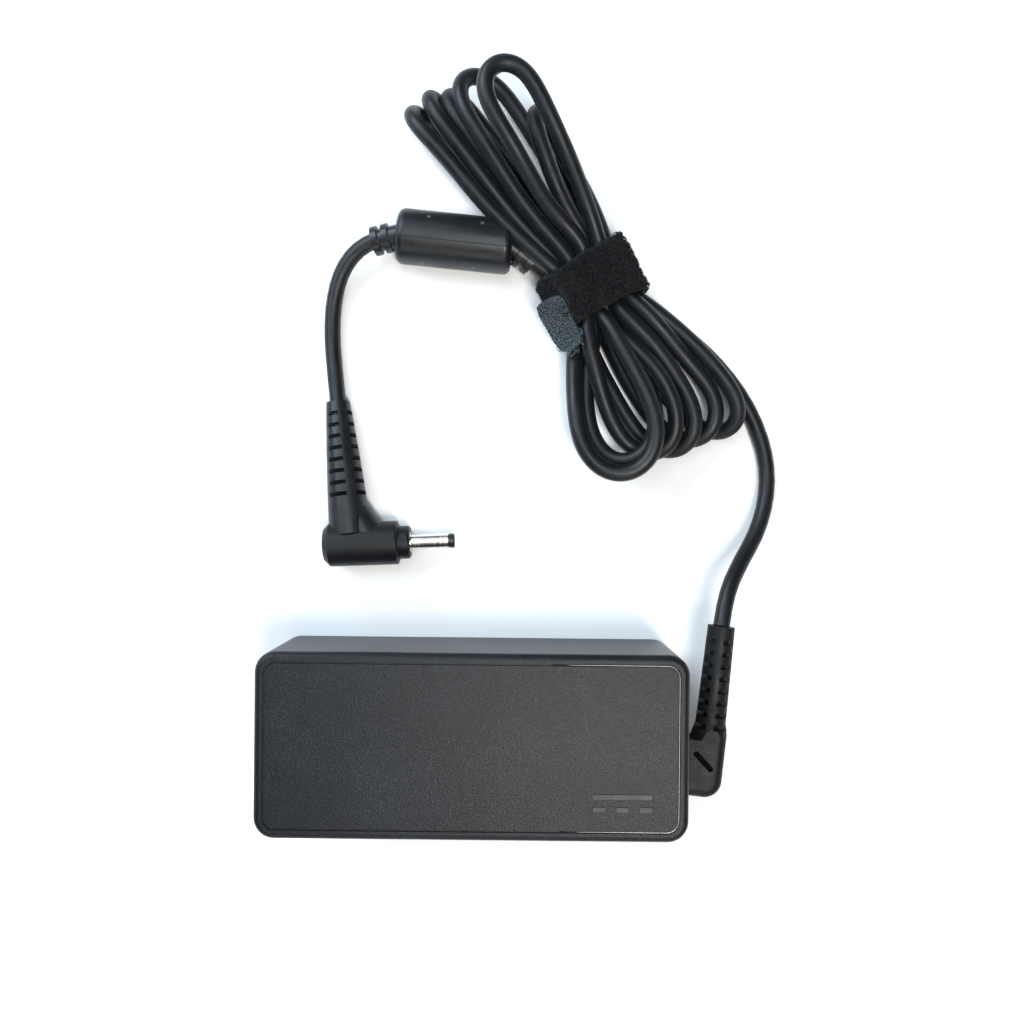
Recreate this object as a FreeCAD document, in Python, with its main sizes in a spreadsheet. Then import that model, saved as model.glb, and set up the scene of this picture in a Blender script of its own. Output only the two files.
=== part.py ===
"""Laptop power adapter: brick, ribbed elbow, coiled output cord with its tie, ferrite bead and barrel plug.

Frame: millimetres, +Z up. The origin is the centre of the brick's underside, +X runs along the brick
towards the end that the cord leaves, and +Y points to the side where the coiled cord lies.
"""
import FreeCAD, Part
import math
import os
import Sketcher

Vector = FreeCAD.Vector
UP = Vector(0, 0, 1)

# ---------------------------------------------------------------- driving dimensions
DIMENSIONS = {
    # casing
    "brick_length": 93.0,
    "brick_width": 40.0,
    "brick_height": 28.5,
    "seam_height": 14.25,
    "wall": 2.2,
    "corner_round": 4.5,
    "edge_round": 1.4,
    "lip_wall": 1.0,
    "lip_height": 1.5,
    "lip_play": 0.1,
    "groove_inset": 2.0,
    "groove_width": 0.5,
    "groove_depth": 0.45,
    "groove_round": 2.8,
    "label_length": 72.0,
    "label_width": 31.0,
    "label_round": 2.0,
    "label_depth": 0.3,
    "post_radius": 1.6,
    "symbol_x": 32.2,
    "symbol_y": -11.5,
    "symbol_length": 12.5,
    "symbol_stroke": 0.95,
    "symbol_gap": 1.35,
    "symbol_height": 0.2,
    "fit_gap": 0.1,
    "overshoot": 1.0,
    # mains inlet
    "inlet_depth": 15.0,
    "inlet_width": 21.0,
    "inlet_height": 15.4,
    "inlet_round": 1.6,
    "inlet_cavity_depth": 12.8,
    "inlet_cavity_width": 18.0,
    "inlet_cavity_height": 12.6,
    "inlet_cavity_corner": 3.4,
    "inlet_flange": 1.5,
    "inlet_flange_rim": 1.6,
    "pin_radius": 1.2,
    "pin_length": 14.4,
    "pin_reach": 8.2,
    "pin_spread": 3.5,
    "pin_low": -2.2,
    "pin_high": 2.6,
    # board and the sheets around it
    "board_x": 8.0,
    "board_length": 67.0,
    "board_width": 33.0,
    "board_thickness": 1.6,
    "board_bottom": 5.5,
    "board_hole_inset": 3.0,
    "sheet_length": 56.0,
    "sheet_thickness": 0.4,
    "sheet_bottom": 3.2,
    "spreader_length": 66.0,
    "spreader_width": 33.0,
    "spreader_thickness": 0.6,
    "spreader_bottom": 25.3,
    # elbow strain relief
    "elbow_y": -6.9,
    "elbow_height": 14.25,
    "elbow_above": 4.3,
    "elbow_below": 8.6,
    "elbow_thickness": 7.24,
    "elbow_corner": 3.9,
    "elbow_blend": 5.5,
    "elbow_blend_start": 4.3,
    "elbow_blend_end": 3.0,
    "elbow_round": 2.2,
    "elbow_neck_radius": 3.3,
    "elbow_neck_length": 4.4,
    "elbow_neck_overlap": 1.0,
    "elbow_flange_radius": 5.4,
    "elbow_flange_length": 1.6,
    "arm_start_x": 52.8,
    "arm_start_y": -5.0,
    "arm_end_x": 55.9,
    "arm_end_y": 24.8,
    "arm_start_radius": 3.5,
    "arm_end_radius": 3.05,
    "arm_slots": 8,
    "arm_slot_pitch": 2.75,
    "arm_slot_width": 1.1,
    "arm_slot_first": 3.4,
    "arm_slot_spine": 0.85,
    "arm_slot_reach": 6.0,
    "arm_slot_roll": -13.0,
    "vent_slot_length": 5.9,
    "vent_slot_width": 1.25,
    "vent_slot_depth": 3.0,
    "vent_slot_round": 0.6,
    "vent_slot_x": 4.9,
    "vent_slot_y": 1.8,
    "vent_slot_turn": -47.0,
    "slot_core": 2.05,
    # cord
    "cord_diameter": 3.8,
    "wire_diameter": 1.5,
    "wire_pair_gap": 1.2,
    "ac_wire_straight": 2.6,
    "ac_wire_reach": 3.2,
    "ac_wire_rise": 2.2,
    "ac_wire_fan": 1.5,
    "dc_wire_straight": 1.6,
    "dc_wire_reach": 2.2,
    "dc_wire_rise": 2.4,
    # coiled cord and its tie
    "hank_x": 26.4,
    "hank_y": 103.0,
    "hank_turn": 30.0,
    "strap_width": 12.8,
    "strap_span": 22.0,
    "strap_height": 13.4,
    "strap_thickness": 1.3,
    "strap_round": 5.0,
    "tab_left": -14.2,
    "tab_near": -8.0,
    "tab_length": 7.5,
    "tab_width": 12.2,
    "tab_height": 1.5,
    "tab_bottom": 8.6,
    "tab_turn": -11.0,
    # ferrite bead, lying on the floor
    "bead_x": -5.95,
    "bead_y": 113.57,
    "bead_turn": -5.3,
    "bead_radius": 6.4,
    "bead_length": 27.0,
    "bead_round": 1.7,
    "ferrite_radius": 5.1,
    "ferrite_length": 22.0,
    "collar_radius": 2.6,
    "collar_length": 6.2,
    "collar_rib_radius": 3.4,
    "collar_rib_width": 1.4,
    "collar_rib_pitch": 2.6,
    "collar_overlap": 1.5,
    # barrel plug, lying on the floor
    "plug_x": -36.0,
    "plug_y": 41.95,
    "plug_turn": 2.6,
    "plug_radius": 5.15,
    "plug_length": 17.5,
    "plug_bevel": 1.3,
    "plug_round": 0.6,
    "collar_round": 0.7,
    "plug_collar_radius": 3.9,
    "plug_collar_length": 2.8,
    "sleeve_radius": 1.7,
    "sleeve_wall": 0.3,
    "sleeve_length": 8.9,
    "sleeve_root": 2.0,
    "sleeve_root_radius": 2.4,
    "ring_length": 1.5,
    "ring_round": 0.35,
    "contact_radius": 0.95,
    "contact_bore": 0.675,
    "contact_recess": 0.8,
    "contact_length": 9.0,
    "contact_base": 1.2,
    "tail_end_x": -33.6,
    "tail_end_y": 75.9,
    "tail_end_z": 3.1,
    "tail_mid_x": -30.9,
    "tail_mid_y": 53.0,
    "tail_mid_z": 4.75,
    "tail_root_x": -29.9,
    "tail_root_y": 44.6,
    "tail_root_z": 5.15,
    "tail_end_radius": 2.8,
    "tail_mid_radius": 4.55,
    "tail_root_radius": 5.05,
    "tail_slots": 8,
    "tail_slot_pitch": 2.75,
    "tail_slot_width": 1.0,
    "tail_slot_first": 3.0,
    "tail_slot_spine": 1.1,
    "tail_slot_reach": 8.0,
    "tail_slot_roll": 25.0,
    "flare_start_x": -29.6,
    "flare_start_y": 50.6,
    "flare_start_radius": 3.7,
    "flare_end_x": -25.6,
    "flare_end_y": 43.7,
    "flare_end_radius": 4.85,
    "flare_z": 4.85,
}

# Parts that stand on the board: centre x, centre y, length, width, height.
BOARD_BLOCKS = {
    "x_capacitor": (-15.0, 9.0, 5.0, 13.0, 11.0),
    "bridge_rectifier": (-4.6, 0.0, 3.4, 15.0, 11.0),
    "primary_heatsink": (6.5, -13.6, 20.0, 1.6, 16.5),
    "primary_switch": (6.5, -10.5, 10.0, 4.4, 15.0),
    "control_chip": (5.0, -3.6, 5.0, 4.0, 1.5),
    "optocoupler": (18.6, -4.9, 4.6, 6.4, 3.5),
    "secondary_heatsink": (33.6, -14.4, 13.6, 1.6, 16.5),
    "output_rectifier": (33.6, -11.4, 10.0, 4.4, 15.0),
}

# Lying and wound parts on the board.
BOARD_SIZES = {
    "bulk_x": -1.6,
    "bulk_y": 8.2,
    "bulk_radius": 8.0,
    "bulk_length": 22.5,
    "choke_x": -12.4,
    "choke_y": -7.6,
    "choke_ring": 5.2,
    "choke_core": 2.1,
    "choke_coil": 2.9,
    "choke_coil_angle": 130.0,
    "transformer_x": 30.6,
    "transformer_y": 6.4,
    "bobbin_length": 15.0,
    "bobbin_width": 15.4,
    "bobbin_flange": 1.2,
    "bobbin_tube_radius": 4.4,
    "bobbin_bore": 3.6,
    "bobbin_height": 13.6,
    "winding_radius": 7.2,
    "core_length": 9.0,
    "core_width": 19.6,
    "core_height": 16.8,
    "core_plate": 1.5,
    "core_leg": 2.0,
    "core_post_radius": 3.5,
    "disc_x": 17.0,
    "disc_y": -12.4,
    "disc_radius": 3.6,
    "disc_thickness": 3.2,
    "smoothing_x": 23.6,
    "smoothing_y": -12.4,
    "smoothing_radius": 3.0,
    "smoothing_height": 11.0,
    "filter_y": -5.9,
    "filter_radius": 2.4,
    "filter_height": 9.0,
}

# Round parts that stand on the board: centre x, centre y, radius, height.
BOARD_CANS = {
    "fuse": (-20.4, -11.2, 4.2, 7.6),
    "inrush_thermistor": (-20.0, 0.2, 2.9, 9.6),
}

# The cord's free stretches, as the points of each route. The lead runs from the elbow to the coil;
# the other runs from the coil through the ferrite bead to the plug.
LEAD_ROUTE = (
    (55.90, 24.80, 14.25),
    (56.90, 31.40, 13.20),
    (60.90, 38.30, 8.80),
    (66.60, 46.60, 4.40),
    (69.30, 56.50, 2.30),
    (68.30, 66.50, 1.95),
    (63.60, 77.40, 1.95),
)
PLUG_ROUTE = (
    (15.60, 106.70, 4.60),
    (8.60, 112.25, 6.40),
    (-20.60, 114.95, 6.40),
    (-28.00, 112.90, 5.20),
    (-32.90, 107.60, 3.60),
    (-35.10, 100.00, 2.40),
    (-35.40, 91.50, 2.00),
    (-34.60, 83.60, 2.30),
    (-33.60, 75.90, 3.10),
)

# Outer shape of the coiled cord, as sections across it: distance along the coil from its tie, the two
# sides, the underside and the top. Negative distances are the loops nearest the plug.
HANK_SECTIONS = (
    (-47.0, -13.0, 22.2, 0.0, 9.0),
    (-38.0, -20.4, 20.9, 0.0, 13.0),
    (-20.0, -17.6, 15.0, 0.0, 14.0),
    (-6.4, -9.6, 9.6, 1.3, 12.1),
    (6.4, -9.6, 9.6, 1.3, 12.1),
    (20.0, -11.4, 11.6, 0.0, 16.0),
    (44.0, -19.6, 12.6, 0.0, 25.0),
    (56.0, -20.0, 3.0, 0.0, 23.0),
)

doc = FreeCAD.newDocument("laptop_power_adapter")
nodes = []


def fill_sheet():
    """Keeps every driving dimension in one sheet, an alias for each."""
    table = dict(DIMENSIONS, **BOARD_SIZES)
    for name, numbers in BOARD_BLOCKS.items():
        table.update(zip((f"{name}_{part}" for part in ("x", "y", "length", "width", "height")), numbers))
    for name, numbers in BOARD_CANS.items():
        table.update(zip((f"{name}_{part}" for part in ("x", "y", "radius", "height")), numbers))
    dims = doc.addObject("Spreadsheet::Sheet", "dims")
    for row, (alias, number) in enumerate(table.items(), start=1):
        dims.set(f"A{row}", alias)
        dims.set(f"B{row}", str(number))
        dims.setAlias(f"B{row}", alias)
    doc.recompute()
    return dims


dims = fill_sheet()
probe = doc.addObject("App::FeaturePython", "probe")
probe.addProperty("App::PropertyFloat", "number")


# ---------------------------------------------------------------- helpers
def size(alias):
    return float(dims.get(alias))


def number(expression):
    """What an expression of the sheet's cells comes to."""
    probe.setExpression("number", expression)
    probe.recompute()
    return probe.number


def bind(thing, **expressions):
    for name, expression in expressions.items():
        thing.setExpression(name, expression)
    return thing


def move(thing, x="0", y="0", z="0", rotation=None):
    """Places a thing: its position follows the sheet, its turn is fixed."""
    if rotation is not None:
        thing.Placement.Rotation = rotation
    for axis, expression in zip("xyz", (x, y, z)):
        thing.setExpression(f"Placement.Base.{axis}", expression)
    return thing


def turn(axis, degrees):
    return FreeCAD.Rotation(axis, degrees)


def along_x(yaw=0.0):
    """The turn that lays a cylinder's axis along +X, then yaws it."""
    return turn(UP, yaw) * turn(Vector(0, 1, 0), 90)


def rotation_to(direction):
    return FreeCAD.Rotation(UP, direction)


def keep(thing, name=None):
    """Registers a finished sub-part under its own label."""
    if name:
        thing.Label = name
    nodes.append(thing)
    return thing


def box(name, length, width, height, x, y, z):
    """A block centred on x and y, standing on z."""
    block = bind(doc.addObject("Part::Box", name), Length=length, Width=width, Height=height)
    return move(block, f"{x} - ({length}) / 2", f"{y} - ({width}) / 2", z)


def cylinder(name, radius, height, x, y, z, rotation=None):
    rod = bind(doc.addObject("Part::Cylinder", name), Radius=radius, Height=height)
    return move(rod, x, y, z, rotation)


def fuse(name, *pieces):
    union = doc.addObject("Part::MultiFuse", name)
    union.Shapes = list(pieces)
    return union


def cut(name, base, *tools):
    difference = doc.addObject("Part::Cut", name)
    difference.Base = base
    difference.Tool = tools[0] if len(tools) == 1 else fuse(f"{name}_tools", *tools)
    return difference


def rounded(name, base, radius, wanted):
    """Rounds the edges of a primitive for which wanted(edge) is true."""
    doc.recompute()
    fillet = doc.addObject("Part::Fillet", name)
    fillet.Base = base
    edges = enumerate(base.Shape.Edges, start=1)
    fillet.Edges = [(index, size(radius), size(radius)) for index, edge in edges if wanted(edge)]
    return fillet


def feature(name, shape, placement=None):
    """A computed shape, which gets its placement after the shape is set."""
    item = doc.addObject("Part::Feature", name)
    item.Shape = shape
    item.Placement = placement or FreeCAD.Placement()
    return item


# ---------------------------------------------------------------- sketches
def new_body(name, x="0", y="0", z="0", rotation=None):
    return move(doc.addObject("PartDesign::Body", name), x, y, z, rotation)


def sketch_on(body, role, name, offset="0"):
    """A sketch on one of a body's own origin planes, lifted by offset."""
    sketch = body.newObject("Sketcher::SketchObject", name)
    plane = next(item for item in body.Origin.OriginFeatures if item.Role == role)
    sketch.AttachmentSupport = [(plane, "")]
    sketch.MapMode = "FlatFace"
    sketch.setExpression("AttachmentOffset.Base.z", offset)
    return sketch


def constrain(sketch, kind, *where, to):
    """Adds a dimension to a sketch and binds it to an expression."""
    index = sketch.addConstraint(Sketcher.Constraint(kind, *where, number(to)))
    sketch.setExpression(f"Constraints[{index}]", to)


def rounded_rectangle(sketch, length, width, radius, x="0", y="0"):
    """Four lines joined by four tangent quarter arcs, round the point x, y."""
    first = sketch.GeometryCount
    half_x, half_y, arc = number(f"({length}) / 2"), number(f"({width}) / 2"), number(radius)
    middle = Vector(number(x), number(y), 0)
    corners = ((1, -1), (1, 1), (-1, 1), (-1, -1))
    for index, (sx, sy) in enumerate(corners):
        before_x, before_y = corners[index - 1]
        centre = middle + Vector(sx * (half_x - arc), sy * (half_y - arc), 0)
        centre_before = middle + Vector(before_x * (half_x - arc), before_y * (half_y - arc), 0)
        angle = math.radians(90 * (index - 1))
        outward = Vector(math.cos(angle), math.sin(angle), 0) * arc
        sketch.addGeometry(Part.LineSegment(centre_before + outward, centre + outward))
        sketch.addGeometry(Part.ArcOfCircle(Part.Circle(centre, UP, arc), angle, angle + math.pi / 2))
    ring = [first + step for step in range(8)]
    for here, after in zip(ring, ring[1:] + ring[:1]):
        sketch.addConstraint(Sketcher.Constraint("Tangent", here, 2, after, 1))
    for line, kind in zip(ring[::2], ("Horizontal", "Vertical", "Horizontal", "Vertical")):
        sketch.addConstraint(Sketcher.Constraint(kind, line))
    for arc_index in ring[3::2]:
        sketch.addConstraint(Sketcher.Constraint("Equal", ring[1], arc_index))
    constrain(sketch, "Radius", ring[1], to=radius)
    constrain(sketch, "DistanceX", ring[6], 1, ring[2], 1, to=length)
    constrain(sketch, "DistanceY", ring[0], 1, ring[4], 1, to=width)
    constrain(sketch, "DistanceX", -1, 1, ring[2], 1, to=f"({x}) + ({length}) / 2")
    constrain(sketch, "DistanceY", -1, 1, ring[4], 1, to=f"({y}) + ({width}) / 2")


def polygon(sketch, *corners):
    """A closed run of lines whose corners are pairs of expressions."""
    first = sketch.GeometryCount
    points = [Vector(number(x), number(y), 0) for x, y in corners]
    for start, end in zip(points, points[1:] + points[:1]):
        sketch.addGeometry(Part.LineSegment(start, end))
    lines = [first + step for step in range(len(points))]
    for here, after in zip(lines, lines[1:] + lines[:1]):
        sketch.addConstraint(Sketcher.Constraint("Coincident", here, 2, after, 1))
    for line, (x, y) in zip(lines, corners):
        constrain(sketch, "DistanceX", -1, 1, line, 1, to=x)
        constrain(sketch, "DistanceY", -1, 1, line, 1, to=y)


def circle(sketch, radius, x="0", y="0"):
    centre = Vector(number(x), number(y), 0)
    index = sketch.addGeometry(Part.Circle(centre, UP, number(radius)))
    constrain(sketch, "Radius", index, to=radius)
    constrain(sketch, "DistanceX", -1, 1, index, 3, to=x)
    constrain(sketch, "DistanceY", -1, 1, index, 3, to=y)


def pad(body, sketch, length, both_ways=False):
    solid = body.newObject("PartDesign::Pad", f"{sketch.Name}_pad")
    solid.Profile = sketch
    solid.Midplane = both_ways
    return bind(solid, Length=length)


def pocket(body, sketch, depth, along_normal=False):
    """Cuts a sketch out of the body, and fails when that takes nothing away."""
    doc.recompute()
    before = body.Shape.Volume
    hollow = body.newObject("PartDesign::Pocket", f"{sketch.Name}_pocket")
    hollow.Profile = sketch
    hollow.Reversed = along_normal
    bind(hollow, Length=depth)
    doc.recompute()
    if body.Shape.Volume > before - 1e-3:
        raise RuntimeError(f"{hollow.Name} cuts nothing")
    return hollow


def round_face(body, base, name, radius, z):
    """Rounds every edge of the flat face that lies at height z of the body's own frame."""
    doc.recompute()
    faces = enumerate(base.Shape.Faces, start=1)
    flat = [i for i, face in faces if abs(face.CenterOfMass.z - z) < 1e-4 and face.Surface.isPlanar()]
    fillet = body.newObject("PartDesign::Fillet", name)
    fillet.Base = (base, [f"Face{flat[0]}"])
    return bind(fillet, Radius=radius)


# ---------------------------------------------------------------- casing
def shell_notches(body, prefix, seam):
    """The openings for the mains inlet and for the elbow's neck, each half in either shell."""
    reach = "dims.brick_length / 2 + dims.overshoot"
    inlet = sketch_on(body, "YZ_Plane", f"{prefix}_inlet_notch")
    rounded_rectangle(inlet, "dims.inlet_width + 2 * dims.fit_gap", "dims.inlet_height + 2 * dims.fit_gap",
                      "dims.inlet_round", y=seam)
    pocket(body, inlet, reach)
    neck = sketch_on(body, "YZ_Plane", f"{prefix}_neck_notch")
    circle(neck, "dims.elbow_neck_radius + dims.fit_gap / 2", x="dims.elbow_y", y=seam)
    pocket(body, neck, reach, along_normal=True)


def inner_outline(sketch, inset):
    rounded_rectangle(sketch, f"dims.brick_length - 2 * ({inset})", f"dims.brick_width - 2 * ({inset})",
                      f"dims.corner_round - ({inset})")


def top_cover():
    body = new_body("top_cover", z="dims.seam_height")
    height = "dims.brick_height - dims.seam_height"
    outline = sketch_on(body, "XY_Plane", "top_outline")
    inner_outline(outline, "0")
    block = pad(body, outline, height)
    round_face(body, block, "top_edge_round", "dims.edge_round", size("brick_height") - size("seam_height"))
    cavity = sketch_on(body, "XY_Plane", "top_cavity")
    inner_outline(cavity, "dims.wall")
    pocket(body, cavity, f"{height} - dims.wall", along_normal=True)
    rebate = sketch_on(body, "XY_Plane", "top_rebate")
    inner_outline(rebate, "dims.wall - dims.lip_wall - dims.lip_play")
    pocket(body, rebate, "dims.lip_height + dims.lip_play", along_normal=True)
    groove = sketch_on(body, "XY_Plane", "panel_groove", offset=height)
    for inset, radius in (("dims.groove_inset", "dims.groove_round"),
                          ("dims.groove_inset + dims.groove_width", "dims.groove_round - dims.groove_width")):
        rounded_rectangle(groove, f"dims.brick_length - 2 * ({inset})",
                          f"dims.brick_width - 2 * ({inset})", radius)
    pocket(body, groove, "dims.groove_depth")
    shell_notches(body, "top", "0")
    current_symbol(body, height)
    return keep(body)


def current_symbol(body, height):
    """The plain direct-current sign: a bar with three dashes under it, raised from the panel."""
    marks = sketch_on(body, "XY_Plane", "current_symbol", offset=height)
    dash = "dims.symbol_length / 5"
    rows = [("dims.symbol_length", "0", "dims.symbol_gap")]
    rows += [(dash, f"{step} * 2 * {dash}", "-dims.symbol_gap") for step in (-1, 0, 1)]
    for length, shift, rise in rows:
        left = f"dims.symbol_x + ({shift}) - ({length}) / 2"
        right = f"dims.symbol_x + ({shift}) + ({length}) / 2"
        low = f"dims.symbol_y + ({rise}) - dims.symbol_stroke / 2"
        high = f"dims.symbol_y + ({rise}) + dims.symbol_stroke / 2"
        polygon(marks, (left, low), (right, low), (right, high), (left, high))
    pad(body, marks, "dims.symbol_height")


def bottom_cover():
    body = new_body("bottom_cover")
    outline = sketch_on(body, "XY_Plane", "bottom_outline")
    inner_outline(outline, "0")
    block = pad(body, outline, "dims.seam_height")
    round_face(body, block, "bottom_edge_round", "dims.edge_round", 0)
    cavity = sketch_on(body, "XY_Plane", "bottom_cavity", offset="dims.seam_height")
    inner_outline(cavity, "dims.wall")
    pocket(body, cavity, "dims.seam_height - dims.wall")
    lip = sketch_on(body, "XY_Plane", "bottom_lip", offset="dims.seam_height")
    inner_outline(lip, "dims.wall - dims.lip_wall")
    inner_outline(lip, "dims.wall")
    pad(body, lip, "dims.lip_height")
    shell_notches(body, "bottom", "dims.seam_height")
    recess = sketch_on(body, "XY_Plane", "label_recess")
    rounded_rectangle(recess, "dims.label_length", "dims.label_width", "dims.label_round")
    pocket(body, recess, "dims.label_depth", along_normal=True)
    posts = sketch_on(body, "XY_Plane", "board_posts", offset="dims.wall")
    for side_x in (-1, 1):
        for side_y in (-1, 1):
            circle(posts, "dims.post_radius",
                   x=f"dims.board_x + {side_x} * (dims.board_length / 2 - dims.board_hole_inset)",
                   y=f"{side_y} * (dims.board_width / 2 - dims.board_hole_inset)")
    pad(body, posts, "dims.board_bottom - dims.wall")
    return keep(body)


def rating_label():
    """A blank plate let into the underside."""
    body = new_body("rating_label")
    outline = sketch_on(body, "XY_Plane", "label_outline")
    rounded_rectangle(outline, "dims.label_length - 2 * dims.fit_gap", "dims.label_width - 2 * dims.fit_gap",
                      "dims.label_round")
    pad(body, outline, "dims.label_depth")
    return keep(body)


# ---------------------------------------------------------------- mains inlet
PIN_PLACES = (("-dims.pin_spread", "dims.pin_low"), ("dims.pin_spread", "dims.pin_low"), ("0", "dims.pin_high"))


def ac_inlet():
    """Three-pin appliance inlet: a socket with two bevelled corners, flanged behind the shell's wall."""
    body = new_body("ac_inlet", x="-dims.brick_length / 2", z="dims.seam_height")
    outline = sketch_on(body, "YZ_Plane", "inlet_outline")
    rounded_rectangle(outline, "dims.inlet_width", "dims.inlet_height", "dims.inlet_round")
    pad(body, outline, "dims.inlet_depth")
    flange = sketch_on(body, "YZ_Plane", "inlet_flange", offset="dims.wall + dims.fit_gap")
    rounded_rectangle(flange, "dims.inlet_width + 2 * dims.inlet_flange_rim",
                      "dims.inlet_height + 2 * dims.inlet_flange_rim", "dims.inlet_round")
    pad(body, flange, "dims.inlet_flange")
    cavity = sketch_on(body, "YZ_Plane", "inlet_cavity")
    half_width, half_height = "dims.inlet_cavity_width / 2", "dims.inlet_cavity_height / 2"
    bevel = "dims.inlet_cavity_corner"
    polygon(cavity, (f"-{half_width}", f"-{half_height}"), (half_width, f"-{half_height}"),
            (half_width, f"{half_height} - {bevel}"), (f"{half_width} - {bevel}", half_height),
            (f"-{half_width} + {bevel}", half_height), (f"-{half_width}", f"{half_height} - {bevel}"))
    pocket(body, cavity, "dims.inlet_cavity_depth", along_normal=True)
    holes = sketch_on(body, "YZ_Plane", "inlet_pin_holes")
    for y, z in PIN_PLACES:
        circle(holes, "dims.pin_radius", x=y, y=z)
    pocket(body, holes, "dims.inlet_depth + dims.overshoot", along_normal=True)
    return keep(body)


def inlet_pins():
    start = "-dims.brick_length / 2 + dims.inlet_cavity_depth - dims.pin_reach"
    pins = [cylinder(f"inlet_pin_{index}", "dims.pin_radius", "dims.pin_length",
                     start, y, f"dims.seam_height + {z}", along_x())
            for index, (y, z) in enumerate(PIN_PLACES)]
    return keep(fuse("inlet_pins", *pins))


# ---------------------------------------------------------------- board and its parts
BOARD_TOP = "dims.board_bottom + dims.board_thickness"


def main_board():
    board = box("main_board", "dims.board_length", "dims.board_width", "dims.board_thickness",
                "dims.board_x", "0", "dims.board_bottom")
    keep(board)
    keep(box("insulation_sheet", "dims.sheet_length", "dims.board_width", "dims.sheet_thickness",
             "dims.board_x", "0", "dims.sheet_bottom"))
    keep(box("heat_spreader", "dims.spreader_length", "dims.spreader_width", "dims.spreader_thickness",
             "dims.board_x", "0", "dims.spreader_bottom"))


def board_parts():
    for name in BOARD_BLOCKS:
        keep(box(name, *(f"dims.{name}_{part}" for part in ("length", "width", "height", "x", "y")), BOARD_TOP))
    for name in BOARD_CANS:
        keep(cylinder(name, *(f"dims.{name}_{part}" for part in ("radius", "height", "x", "y")), BOARD_TOP))


def bulk_capacitor():
    """The large can, lying on its side, rounded at its closed end."""
    can = cylinder("bulk_capacitor_can", "dims.bulk_radius", "dims.bulk_length", "dims.bulk_x", "dims.bulk_y",
                   f"{BOARD_TOP} + dims.bulk_radius", along_x())
    closed_end = size("bulk_x") + size("bulk_length")
    keep(rounded("bulk_capacitor", can, "edge_round", lambda edge: edge.BoundBox.XMin > closed_end - 0.1))


def common_mode_choke():
    """A ring standing across the board, with one winding on each side."""
    place = ("dims.choke_x", "dims.choke_y", f"{BOARD_TOP} + dims.choke_ring + dims.choke_coil + dims.fit_gap")
    ring = bind(doc.addObject("Part::Torus", "choke_core"), Radius1="dims.choke_ring", Radius2="dims.choke_core")
    keep(move(ring, *place, along_x()))
    halves = []
    for index, middle in enumerate((0, 180)):
        half = bind(doc.addObject("Part::Torus", f"choke_winding_{index}"), Radius1="dims.choke_ring",
                    Radius2="dims.choke_coil", Angle3="dims.choke_coil_angle")
        start = middle - size("choke_coil_angle") / 2
        halves.append(move(half, *place, along_x() * turn(UP, start)))
    keep(cut("choke_windings", fuse("choke_winding_pair", *halves), ring))


def transformer():
    """An E-core transformer: bobbin with two flanges, winding between them and a core round both."""
    x, y, bottom = "dims.transformer_x", "dims.transformer_y", BOARD_TOP
    height, plate, flange = "dims.core_height", "dims.core_plate", "dims.bobbin_flange"
    low_flange = f"{bottom} + {plate} + dims.fit_gap"
    high_flange = f"{bottom} + {height} - {plate} - {flange} - dims.fit_gap"
    flanges = [box(f"bobbin_flange_{index}", "dims.bobbin_length", "dims.bobbin_width", flange, x, y, z)
               for index, z in enumerate((low_flange, high_flange))]
    tube = cylinder("bobbin_tube", "dims.bobbin_tube_radius", f"dims.bobbin_height - {flange}", x, y,
                    f"{low_flange} + {flange} / 2")
    bore = cylinder("bobbin_hole", "dims.bobbin_bore", height, x, y, bottom)
    keep(cut("transformer_bobbin", fuse("bobbin_body", *flanges, tube), bore))
    coil = cylinder("winding_coil", "dims.winding_radius",
                    f"dims.bobbin_height - 2 * ({flange} + dims.fit_gap)", x, y,
                    f"{low_flange} + {flange} + dims.fit_gap")
    coil_bore = cylinder("winding_hole", "dims.bobbin_tube_radius", height, x, y, bottom)
    keep(cut("transformer_winding", coil, coil_bore))
    plates = [box(f"core_plate_{index}", "dims.core_length", "dims.core_width", plate, x, y, z)
              for index, z in enumerate((bottom, f"{bottom} + {height} - {plate}"))]
    legs = [box(f"core_leg_{index}", "dims.core_length", "dims.core_leg", height, x,
                f"{y} + {side} * (dims.core_width - dims.core_leg) / 2", bottom)
            for index, side in enumerate((-1, 1))]
    post = cylinder("core_post", "dims.core_post_radius", height, x, y, bottom)
    keep(fuse("transformer_core", *plates, *legs, post))


def small_board_parts():
    keep(cylinder("y_capacitor", "dims.disc_radius", "dims.disc_thickness", "dims.disc_x", "dims.disc_y",
                  f"{BOARD_TOP} + dims.disc_radius + 2 * dims.fit_gap", along_x()))
    smoothing = cylinder("smoothing_can", "dims.smoothing_radius", "dims.smoothing_height",
                         "dims.smoothing_x", "dims.smoothing_y", BOARD_TOP)
    filtering = cylinder("filter_can", "dims.filter_radius", "dims.filter_height", "dims.smoothing_x",
                         "dims.filter_y", BOARD_TOP)
    keep(fuse("output_capacitors", smoothing, filtering))


# ---------------------------------------------------------------- elbow strain relief
def arm_frame():
    """Start, end and direction of the elbow's ribbed arm, which leans a little outwards."""
    start = Vector(size("arm_start_x"), size("arm_start_y"), size("elbow_height"))
    end = Vector(size("arm_end_x"), size("arm_end_y"), size("elbow_height"))
    return start, end, (end - start).normalize()


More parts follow.
